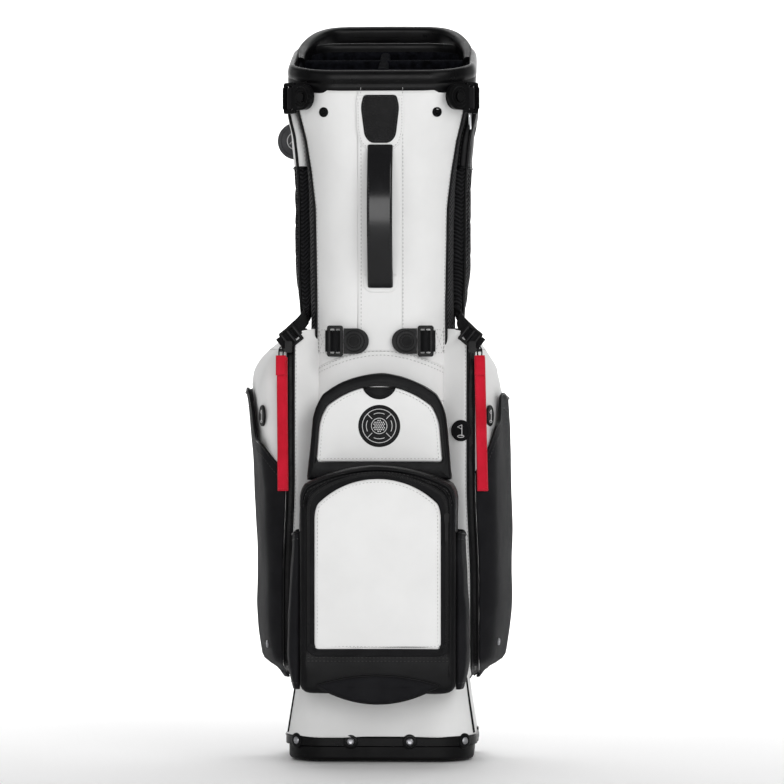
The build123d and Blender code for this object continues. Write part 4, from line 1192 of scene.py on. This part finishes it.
# ================================================================ ball pocket
def housing(outer, opening, back, front, wall, roll, seed, bulge=1.0):
    """Open-fronted sewn pocket: side walls, a rolled front edge and the opening's own edge."""
    rim_line = resample(outer, 160)
    mouth = resample(opening, 160)
    loops = []
    for k in range(22):
        y = back + (front + roll - back) * k / 21
        ring = []
        for p, q in zip(rim_line, inset(rim_line, -1)):
            shift = bulge * sin(pi * k / 21) + ripple((p.x, y, p.y), 34, 1.2, seed)
            ring.append(p + (q - p) * (shift + ripple((p.x, y, p.y), 12, 0.35, seed)))
        loops.append(on_front(ring, y))
    for k in range(1, 6):
        turn = k / 5 * pi / 2
        loops.append(on_front(inset(rim_line, roll * (1 - cos(turn))), front + roll - roll * sin(turn)))
    last = inset(rim_line, roll)
    for k in range(1, 7):
        ring = [p.lerp(q, k / 6) for p, q in zip(last, mouth)]
        dip = 0.9 * sin(pi * k / 6)
        loops.append([(p.x, front - dip + ripple((p.x, 0, p.y), 20, 0.5, seed), p.y) for p in ring])
    inner = inset(rim_line, wall + 1.5)
    loops += [on_front(mouth, front + wall), on_front(inner, front + wall + 1.2), on_front(inner, back)]
    return loft(loops, caps=False)


BALL_FRONT = -180
ball_outer = footed(94, 90, 337, 362, 30, 16, 120)
door_line = footed(79, 143, 321, 349, 37, 5, 170)
panel_line = footed(75.5, 143.5, 313, 347, 44, 5, 170)
zip_outline = resample(door_line, 240)
shell = housing(ball_outer, inset(resample(door_line, 200), -8.1), -62, BALL_FRONT + 0.5, 3, 9, 61)
piece("ball_pocket_housing", [shell], "black_leather", replaces="ball_pocket_shell", sharp=60)
TAPE_PROFILE = ((-7.9, 3.2), (-7.6, 0.8), (-4.2, 0.3), (1.0, 0.8), (5.6, 3.0), (5.6, 4.2))
tape_loops = [on_front(inset(zip_outline, distance), BALL_FRONT + depth) for distance, depth in TAPE_PROFILE]
piece("ball_pocket_zip_tape", [loft(tape_loops, caps=False)], "zip_tape", replaces="ball_pocket_zip")
teeth = inset(zip_outline, -4.0)
first = next(k for k, p in enumerate(teeth) if p.x > 78 and p.y > 150)
teeth = [p for p in teeth[first:] + teeth[:first] if p.y > 147]
zip_teeth("ball_pocket_zip_teeth", on_front(teeth, BALL_FRONT + 0.1))


def padded_front(front, size, amount, seed):
    """Depth of a slightly uneven front under a point of the front view."""
    return lambda x, z: front + ripple((x, 0, z), size, amount, seed)


door_profile = [(0.3, 0), (0.0, 1.2), (0.0, 3.2), (0.9, 4.6), (3.0, 5.4), (8, 6.0), (20, 6.6)]
door = relief(panel_line, door_profile, padded_front(BALL_FRONT + 4.2, 45, 0.9, 70), 200, 12)
piece("ball_pocket_door_panel", [door], "white_leather", "door", replaces="ball_pocket_door", sharp=60)
door_run = on_front(closed_up(inner_line(panel_line, 3.6)), BALL_FRONT - 1.25)
stitches("door_stitching", [door_run], "white_thread_painted_shade", "door", size=(2.8, 1.6, 0.38))
HINGE_TAPE = ((3, 140.2), (-0.2, 140.4), (-0.6, 143.0), (1.2, 145.5))
hinge_rows = [[(x, BALL_FRONT + y, z) for x in range(-77, 78, 7)] for y, z in HINGE_TAPE]
skin("door_hinge_tape", hinge_rows, "zip_tape", 1.0)

# Raised top roll, and the hem above the lower front
roll_line = [p for p in resample(ball_outer, 200) if p.y > 318]
roll_line.sort(key=lambda p: atan2(p.y - 250, p.x))
piping_run = [(p.x * 0.965, BALL_FRONT + 0.6, p.y - 3) for p in roll_line]
pipe("ball_pocket_top_piping", [piping_run], 1.9, "black_leather")
runs = [[(p.x * 0.945, BALL_FRONT - 0.6, p.y - 6.5) for p in roll_line]]
runs += [[(x, BALL_FRONT - 0.5, z) for x in range(-84, 85, 4)] for z in (133.5, 129.5)]
stitches("ball_pocket_stitching", runs, "black_thread", size=(3.0, 1.6, 0.42))


def lens(half, low, middle, high, count=60):
    """Front-view outline between two arcs that meet in points."""
    turns = [1 - 2 * k / count for k in range(count + 1)]
    upper = [(half * t, middle + (high - middle) * (1 - t * t)) for t in turns]
    lower = [(-half * t, middle - (middle - low) * (1 - t * t)) for t in turns]
    return [Vector(p) for p in upper + lower[1:-1]]


lens_line = lens(73, 79, 100, 112)
pouch_profile = [(0, 0), (0.2, 2.6), (1.4, 4.2), (4, 4.9), (9, 5.4)]
pouch = relief(lens_line, pouch_profile, lambda x, z: BALL_FRONT + 1, 140, 6)
piece("under_pouch_panel", [pouch], "neoprene", replaces="under_pouch", sharp=60)
pipe("under_pouch_piping", [on_front(lens_line, BALL_FRONT - 1.4)], 1.5, "black_leather", closed=True)

# Stretch bottle sleeves on the ball pocket's side walls: height and half width
BOTTLE = ((95, 103), (112, 107), (130, 109.5), (170, 109.5), (230, 106.5), (268, 104.5), (283, 104))
for side, word in SIDES:
    rows = []
    for r in range(50):
        z = 95 + (283 - 95) * r / 49
        wide = along_table(BOTTLE, z)[0]
        corners = [
            (93.2, -166), (96, -171.5), (wide - 4, -169), (wide, -152), (wide, -116), (wide - 3, -99.5),
            (93, -98),
        ]
        row = []
        for p in resample(rounded(corners, [0, 3, 9, 16, 16, 5, 0], 5, closed=False), 40, closed=False):
            wave = ripple((p.x * side, p.y, z), 30, 1.1, 81 + side)
            sag = 4 * sin(pi * (p.y + 98) / -74) * (r / 49) ** 4
            row.append(Vector((side * (p.x + wave), p.y, z - sag)))
        rows.append(row)
    name = f"{word}_bottle_sleeve"
    skin(name, rows, "neoprene", 2.2, replaces="bottle_sleeves" if side < 0 else "", axis=(side * 60, -130))
    pipe(name + "_binding", [rows[-1]], 1.6, "black_leather")
    runs = [[p + Vector((side * 0.3, 0, 0)) for p in rows[k]] for k in (-3, 2)]
    stitches(name + "_stitching", runs, "black_thread")


def lining_point(up, part):
    x = -84 + 168 * part
    z = 96 + 236 * up
    return x, front_depth(min(abs(x), 76), z) - 2.5 + ripple((x, 0, z), 40, 1.0, 14), z


skin("ball_pocket_lining", surface(40, 22, lining_point), "air_mesh", 1.0)

# ================================================================ valuables pocket
VALUE_FRONT = -125


def narrowed(outline):
    """The same outline, drawn in towards its top."""
    return [Vector((p[0] * (1 - 0.12 * max(0, p[1] - 350) / 110), p[1])) for p in outline]


flap_line = narrowed(footed(77, 367, 427, 458, 50, 4, 385, 4))
mouth = inset(resample(flap_line, 200), -0.9)
band = housing(narrowed(arched(87, 345, 440, 473, 54)), mouth, -86, VALUE_FRONT, 3, 4, 64, 0.6)
piece("valuables_pocket_band", [band], "black_leather", replaces="valuables_pocket_shell", sharp=60)
flap_profile = [(0.3, 0), (0, 1), (0, 2.4), (0.8, 3.6), (2.6, 4.3), (8, 4.9), (18, 5.4)]
flap = relief(flap_line, flap_profile, padded_front(VALUE_FRONT + 2.4, 40, 0.7, 75), 180, 10)
piece("valuables_flap_panel", [flap], "white_leather", "flap", replaces="valuables_flap", sharp=60)
flap_run = on_front(closed_up(inner_line(flap_line, 3.4)), VALUE_FRONT - 2.0)
stitches("flap_stitching", [flap_run], "white_thread_painted_shade", "flap", size=(2.8, 1.6, 0.36))
teeth = [p for p in inset(resample(flap_line, 200), -2.4) if p.y > 372]
first = min(range(len(teeth)), key=lambda k: teeth[k].y - teeth[k].x * 0.5)
zip_teeth("valuables_zip_teeth", on_front(teeth[first:] + teeth[:first], VALUE_FRONT - 0.1))
tab_half = []
for t in (1 - k / 15 for k in range(31)):
    tab_half.append(Vector((20 * t, 456 - 14 * max(1 - t * t, 0) ** 0.7)))
pull_outline = [Vector((-20, 457)), Vector((20, 457))] + tab_half[1:-1]
pull = relief(pull_outline, [(0, 1.5), (0, 3.6), (0.6, 4.4), (1.4, 4.7)], lambda x, z: VALUE_FRONT + 1, 80, 4)
piece("flap_pull", [pull], "rubber", "flap", replaces="flap_pull_tab")
groove = [(p.x * 0.72, VALUE_FRONT - 3.75, 456 - (456 - p.y) * 0.72) for p in tab_half]
pipe("flap_pull_groove", [groove], 0.5, "badge", "flap")
big_badge = [(25.5, 0), (25.6, 2.4), (24.9, 3.3), (23.2, 3.5), (22.9, 3.0), (0, 3.0)]
badge = lathe(big_badge, (0, VALUE_FRONT - 0.4, 410), (0, -1, 0), 72)
piece("front_badge", [badge], "badge", "flap", replaces="pocket_badge")
AXES = ((1, 0, 0), (0, 0, 1))
face = Vector((0, VALUE_FRONT - 3.6, 410))
marks = [ring_line(face, AXES, 20.4), ring_line(face, AXES, 9.4)]
for k in range(4):
    turn = pi / 4 + k * pi / 2
    marks.append([face + Vector((cos(turn), 0, sin(turn))) * reach for reach in (12, 20)])
    marks.append(ring_line(face, AXES, 15.6, 14, turn + 0.35, turn + pi / 2 - 0.35))
pipe("front_badge_mark", marks, 0.42, "badge_mark", "flap")
dimple = [(0.75, -0.2), (0.8, 0.35), (0.4, 0.5), (0, 0.5)]
spots = [((a + 0.5 * (b % 2)) * 2.5, b * 2.2) for a in range(-3, 4) for b in range(-3, 4)]
dots = [lathe(dimple, face + Vector((x, 0.3, z)), (0, -1, 0), 10) for x, z in spots if hypot(x, z) < 7.2]
piece("front_badge_dimples", dots, "badge_mark", "flap")

# ================================================================ clips, sliders and ribbons
# CAD nodes that keep their own shape: look and softened edge
CAD_LOOKS = {
    "base_cup": ("black_plastic", 0.9), "base_foot": ("rubber", 0.5), "foot_pads": ("rubber", 0.4),
    "foot_hinge_pin": ("steel",), "stays": ("fibreglass",), "ball_pocket_slider": ("black_plastic", 0.5),
    "clip_hardware": ("black_plastic", 0.8), "towel_ring": ("chrome",), "leg_pins": ("steel",),
    "towel_ring_tab": ("black_leather", 0.8), "leg_bracket": ("black_plastic", 0.7),
}
SIDE_LOOKS = {
    "lower_clip_button": ("rubber", 0.7), "upper_clip_button": ("rubber", 0.7), "leg_foot": ("rubber",),
    "zip_slider": ("black_plastic", 0.5), "leg_fittings": ("black_plastic", 0.6),
    "leg_tube": ("aluminium",), "push_rod": ("steel",),
}
for node, look in CAD_LOOKS.items():
    cad_look(node, *look)
for node, look in SIDE_LOOKS.items():
    for _, word in SIDES:
        cad_look(f"{word}_{node}", *look)

HALF = sin(pi / 4)
WEAVE = ((14.5, 2.2), (18.5, 2.6), (20.5, 4.9), (22.5, 5.8), (25, 5.0), (27, 2.8), (30, 2.2))
for side, word in SIDES:
    seats = {
        "lower": ((side * 32, -89.5, 513), (side, 0, 0), (0, -1, 0)),
        "upper": ((side * 92.4, -92.5, 810), (side * HALF, HALF, 0), (side * HALF, -HALF, 0)),
    }
    for level, place in seats.items():
        seat, sideways, out = (Vector(v) for v in place)
        face = seat + out * 6.1
        axes = (sideways, UP)
        rings = [ring_line(face, axes, 8.4), ring_line(face, axes, 12.6, 30, 0.6, 2 * pi - 0.6)]
        pipe(f"{word}_{level}_clip_groove", rings, 0.55, "black_plastic")
        # webbing loop that holds the ring, and the run woven through it
        turns = [pi * k / 16 for k in range(17)]
        loop = [seat + sideways * (31.2 + 3.4 * sin(t)) + out * (3 - 3.2 * cos(t)) for t in turns]
        weave = resample([seat + sideways * reach + out * lift for reach, lift in WEAVE], 20, closed=False)
        webs = [sweep(run, round_section(1.4, 26, 0.6), UP) for run in (loop, weave)]
        piece(f"{word}_{level}_clip_webbing", webs, "webbing")

RIBBON_X, RIBBON_Y, RIBBON_TOP = 121, -94.2, 493.5


def ribbon_point(side):
    """A hanging ribbon that drifts sideways and curls a little."""

    def point(t, part):
        z = RIBBON_TOP - 163 * t
        a = (part - 0.5) * 13
        drift = 3.6 * t if side > 0 else 1.2 + 1.2 * t
        curl = 0.5 * (a / 6.5) ** 2 + ripple((0, 0, z + a * 0.4), 36, 1.6, 90 + side) * smooth_step(t * 3)
        return side * RIBBON_X + a + drift, RIBBON_Y - curl - 0.5 * sin(t * 5), z

    return point


def fold_point(side):
    """The ribbon's upper end, folded over its loop."""

    def point(t, part):
        turn = pi * min(t * 2, 1)
        a = (part - 0.5) * 12.4
        z = RIBBON_TOP + 2.2 * sin(turn) - 22 * max(t - 0.35, 0) / 0.65 + a * 0.06 * t
        return side * RIBBON_X + a, RIBBON_Y - 0.4 - 1.5 * (1 - cos(turn)), z

    return point


for side, word in SIDES:
    body = f"{word}_ribbon"
    axis = (side * RIBBON_X, 400)
    rows = surface(70, 7, ribbon_point(side))
    skin(body + "_strip", rows, "red_ribbon", 1.1, body, body + "_pull", axis)
    skin(body + "_fold", surface(20, 5, fold_point(side)), "red_ribbon", 1.1, body, axis=axis)
    runs = [[p + Vector((0, -0.75, 0)) for p in rows[-2]]]
    for column, inner in ((6, -0.9), (0, 0.9)):
        runs.insert(0, [row[column] + Vector((inner, -0.75, 0)) for row in rows])
    stitches(body + "_selvedge", runs, "red_ribbon", body, size=(1.6, 0.5, 0.3))
    loop = ring_line((side * RIBBON_X, RIBBON_Y + 0.6, 498.5), ((0, 0.8, 7.5), (2.6, 0, 0)), 1, 24)
    pipe(body + "_loop", [loop], 0.9, "webbing", body)

# ================================================================ shoulder straps
# Height, inner face and outer face of a shoulder pad, seen edge on
PAD = (
    (536, 87.5, 100), (565, 86.8, 104), (600, 87.0, 107), (700, 88.2, 107.5), (762, 94.5, 111),
    (790, 102, 116), (815, 107, 118.5),
)
PAD_LOW, PAD_HIGH = 536, 816
YOKE_LOW, YOKE_HIGH, YOKE_START, YOKE_END = 728, 820, 0.12, 1.22 * pi


def pad_section(side, z, turn, grow=0.0):
    """Point on a pad's surface at a height; turn is 0 at its rear edge and pi at its front edge."""
    inner, outer = along_table(PAD, z)
    t = (z - PAD_LOW) / (PAD_HIGH - PAD_LOW)
    end = smooth_step(min(t + 0.02, 1.02 - t) * 9)
    wide = (20 + 16 * end) * (1 - 0.10 * sin(pi * t)) + grow
    thick = (outer - inner) / 2 * (0.35 + 0.65 * end) + grow
    x = (inner + outer) / 2 + signed_power(sin(turn), 0.85) * thick
    return Vector((side * x, 1 + signed_power(cos(turn), 0.6) * wide, z))


def pad_shape(side):
    """Closed form of one shoulder pad, narrower and thinner at its ends."""
    heights = [PAD_LOW + (PAD_HIGH - PAD_LOW) * k / 83 for k in range(84)]
    return loft([[pad_section(side, z, 2 * pi * c / 44, -0.8) for c in range(44)] for z in heights])


def baked(thing):
    return bpy.data.meshes.new_from_object(thing.evaluated_get(bpy.context.evaluated_depsgraph_get()))


def puffed(thing, pressure, cap, frames=20):
    """Inflates a closed pad with cloth simulation and keeps the result in its mesh."""
    scene = bpy.context.scene
    bpy.context.view_layer.objects.active = thing
    remesh = thing.modifiers.new("even", "REMESH")
    remesh.mode = "VOXEL"
    remesh.voxel_size = 0.0035
    even = baked(thing)
    thing.modifiers.clear()
    thing.data = even
    start = [v.co.copy() for v in thing.data.vertices]
    cloth = thing.modifiers.new("puff", "CLOTH")
    settings = {
        "quality": 4, "mass": 0.3, "tension_stiffness": 30, "compression_stiffness": 30,
        "shear_stiffness": 20, "bending_stiffness": 0.6, "use_pressure": True,
        "uniform_pressure_force": pressure,
    }
    for key, value in settings.items():
        setattr(cloth.settings, key, value)
    cloth.settings.effector_weights.gravity = 0
    cloth.point_cache.frame_start = 1
    cloth.point_cache.frame_end = frames
    for step in range(1, frames + 1):
        scene.frame_set(step)
    blown = baked(thing)
    moved = [v.co.copy() for v in blown.vertices]
    thing.modifiers.clear()
    for vertex, a, b in zip(thing.data.vertices, start, moved):
        step = b - a
        if step.length > cap * MM:
            step = step.normalized() * cap * MM
        vertex.co = a + step
    bpy.data.meshes.remove(blown)
    scene.frame_set(1)


def channelled(thing, side, depth):
    """Sewn channels and cross quilting pressed into the faces of a pad."""
    for vertex in thing.data.vertices:
        p = vertex.co / MM
        out = side if abs(p.x) > sum(along_table(PAD, p.z)) / 2 else -side
        across = abs(p.y - 1)
        groove = min(abs(across - 13), 2.8) / 2.8
        cross = min(abs((p.z - 560) % 42 - 21 + across * 0.5), 2.6) / 2.6
        dip = 1 - smooth_step(min(groove, cross))
        vertex.co.x += out * (-depth * dip + ripple(p, 22, 1.0, 120 + side)) * MM
        if p.y < -22:
            vertex.co.y += (1.6 * (1 - smooth_step(cross)) + ripple(p, 16, 1.4, 130 + side)) * MM


def yoke_point(side):
    """The yoke wraps the outer face at the top of the pad."""

    def point(up, part):
        z = YOKE_LOW + (YOKE_HIGH - YOKE_LOW) * up
        turn = YOKE_START + (YOKE_END - YOKE_START) * part
        return pad_section(side, z, turn, 1.6 + ripple((0, 0, z), 24, 0.8, 7))

    return point


def ladder_lock(centre, along, out):
    """Buckle of three cross bars and two sides."""
    across = along.cross(out)
    bars = []
    kinds = ((along, across, (-9, 0, 9), (4.4, 3.6)), (across, along, (-10, 10), (3.6, 4.6)))
    for step, run, shifts, (wide, tall) in kinds:
        for shift in shifts:
            line = [centre + step * shift + run * reach for reach in (-10.5, -5, 0, 5, 10.5)]
            bars.append(sweep(line, round_section(wide, tall, 1.6), out))
    return bars


WEB_LINE = (
    (94.5, -14, 545), (95.5, -40, 541), (97, -58, 537), (101, -72, 531), (110, -79.5, 522), (117, -80.5, 512),
)
for side, word in SIDES:
    body = f"{word}_strap"
    pad = piece(f"{word}_shoulder_pad", [pad_shape(side)], "black_mesh", body, f"{word}_shoulder_strap")
    puffed(pad, 3.0, 2.5)
    channelled(pad, side, 1.9)
    pad.data.shade_smooth()
    finer = pad.modifiers.new("smooth", "SUBSURF")
    finer.levels = finer.render_levels = 1

    binding = []
    for turn in (0.0, pi):
        edge = [pad_section(side, z, turn, 0.8) for z in range(PAD_LOW + 2, PAD_HIGH - 2, 4)]
        binding.append([p + Vector((side * 5, 0, 0)) for p in edge])
    pipe(f"{word}_pad_binding", binding, 1.8, "black_leather", body)
    yoke = surface(36, 32, yoke_point(side))
    look = "white_leather" if side < 0 else "black_leather"
    skin(f"{word}_yoke", yoke, look, 1.4, body, axis=(side * 100, 0))
    frame_run = [row[-1] for row in reversed(yoke)] + yoke[0][-2:0:-1] + [row[0] for row in yoke]
    pipe(f"{word}_yoke_binding", [frame_run], 1.7, "black_leather", body)
    yoke_edge = [row[-3] + Vector((side * 0.2, -0.4, 0)) for row in yoke[1:]]
    thread = "white_thread_painted_shade" if side < 0 else "black_thread"
    stitches(f"{word}_yoke_stitching", [yoke_edge], thread, body, size=(3.4, 1.6, 0.45))

    # Lower webbing, ladder-lock buckle and the webbing's tail
    web = rounded([Vector((side * x, y, z)) for x, y, z in WEB_LINE], [0, 10, 8, 8, 8, 0], 6, closed=False)
    web = sweep(resample(web, 44, closed=False), round_section(1.8, 19, 0.8), (side * 0.25, 0.0, 1))
    piece(f"{word}_strap_webbing", [web], "webbing", body)
    centre = Vector((side * 109.5, -80.5, 519))
    along = Vector((side * 0.78, 0, -0.62)).normalized()
    out = Vector((0.0, -1, 0))
    piece(f"{word}_strap_buckle", ladder_lock(centre, along, out), "black_plastic", body)
    tail = [centre + along * reach + out * lift for reach, lift in ((10, 0), (14, 1.5), (17, 1))]
    tail = sweep(resample(tail, 12, closed=False), round_section(17, 1.6, 0.7), out)
    piece(f"{word}_strap_tail", [tail], "webbing", body)

# ================================================================ disc and legs
disc = [(23, 0), (23.4, 2), (22.6, 4.4), (20.4, 5.8), (18.8, 5.4), (18.2, 4.6), (10, 5.2), (0, 5.4)]
cap = lathe(disc, (-111, 50, 766), (0, -1, 0), 64)
piece("accessory_disc_cap", [cap], "grey_plastic", replaces="accessory_disc")
peak = [(-119, 44.7, 762), (-111, 44.5, 771), (-103, 44.7, 762)]
pipe("accessory_disc_mark", [ring_line((-111, 44.9, 766), AXES, 11), peak], 0.5, "badge_mark")
LEG_X, LEG_Y = 45, 120
collar_profile = [(7.4, -1), (8.9, 0), (9.3, 4), (9.3, 14), (8.9, 18), (7.4, 19)]
for side, word in SIDES:
    spots = [(side * LEG_X, LEG_Y, 139.5 + k * 4.2) for k in range(5)]
    ribs = [ring_line(spot, ((1, 0, 0), (0, 1, 0)), 10.5, 30) for spot in spots]
    pipe(f"{word}_leg_foot_ribs", ribs, 0.8, "rubber", f"{word}_leg")
    collar = lathe(collar_profile, (side * LEG_X, LEG_Y, 757), UP, 32)
    piece(f"{word}_leg_collar", [collar], "black_plastic", f"{word}_leg")

# ================================================================ floor, light and camera
EYE = 0.451
DISTANCE = 4.7
AZIMUTH = radians(2)
VIEW_HALF = 0.9737 / 2
scene = bpy.context.scene
curve = [(4.5 + 2 * sin(k * pi / 16), 2 - 2 * cos(k * pi / 16)) for k in range(1, 9)]
profile = [(-9, 0), (3, 0), (4.5, 0), *curve, (6.5, 9)]
floor_points = [(x, y, z) for y, z in profile for x in (-12, 0, 12)]
floor_data = bpy.data.meshes.new("floor")
floor_data.from_pydata(floor_points, [], sheet_faces(len(profile), 3))
floor_data.shade_smooth()
floor = bpy.data.objects.new("floor", floor_data)
scene.collection.objects.link(floor)
Look("floor_paper", (0.93, 0.93, 0.93), 0.6).tint((0.915, 0.915, 0.915), (0.935, 0.935, 0.935), 0.8)
floor_data.materials.append(LOOK["floor_paper"])

scene.world = bpy.data.worlds.new("studio")
scene.world.use_nodes = True
sky = scene.world.node_tree.nodes["Background"].inputs
sky[0].default_value = (1, 1, 1, 1)
sky[1].default_value = 0.22


def aimed(name, data, place, target):
    """A light or camera that looks at a target."""
    thing = bpy.data.objects.new(name, data)
    thing.location = place
    thing.rotation_euler = (Vector(target) - Vector(place)).to_track_quat("-Z", "Y").to_euler()
    scene.collection.objects.link(thing)
    return thing


# Name, place, target, size and power
LIGHTS = (
    ("key", (1.9, -2.6, 2.3), (0, 0, 0.5), (1.4, 1.8), 30),
    ("front", (0.4, -5.2, 1.05), (0, 0, 0.42), (4.4, 2.0), 116),
    ("fill", (-2.4, -2.2, 1.3), (0, 0, 0.45), (1.2, 2.2), 5),
    ("top", (0, 0.3, 3.0), (0, 0, 0), (2.2, 2.2), 20),
    ("strip_left", (-1.8, 0.9, 0.9), (0, 0, 0.5), (0.5, 1.8), 2.5),
    ("strip_right", (1.8, 0.9, 0.9), (0, 0, 0.5), (0.5, 1.8), 2.5),
    ("backdrop", (0, 2.6, 3.6), (0, 5.6, 0.4), (4.5, 1.5), 330),
)
for name, place, target, size, power in LIGHTS:
    light = bpy.data.lights.new(name, "AREA")
    light.shape = "RECTANGLE"
    light.size, light.size_y = size
    light.energy = power
    aimed(name, light, place, target)

aim = Vector((0.011, 0, EYE))
camera_data = bpy.data.cameras.new("camera")
camera_data.sensor_width = 36
camera_data.lens = 18 / (VIEW_HALF / DISTANCE)
eye = aim + Vector((sin(AZIMUTH), -cos(AZIMUTH), 0)) * DISTANCE
scene.camera = aimed("camera", camera_data, eye, aim)
scene.view_settings.view_transform = "Standard"
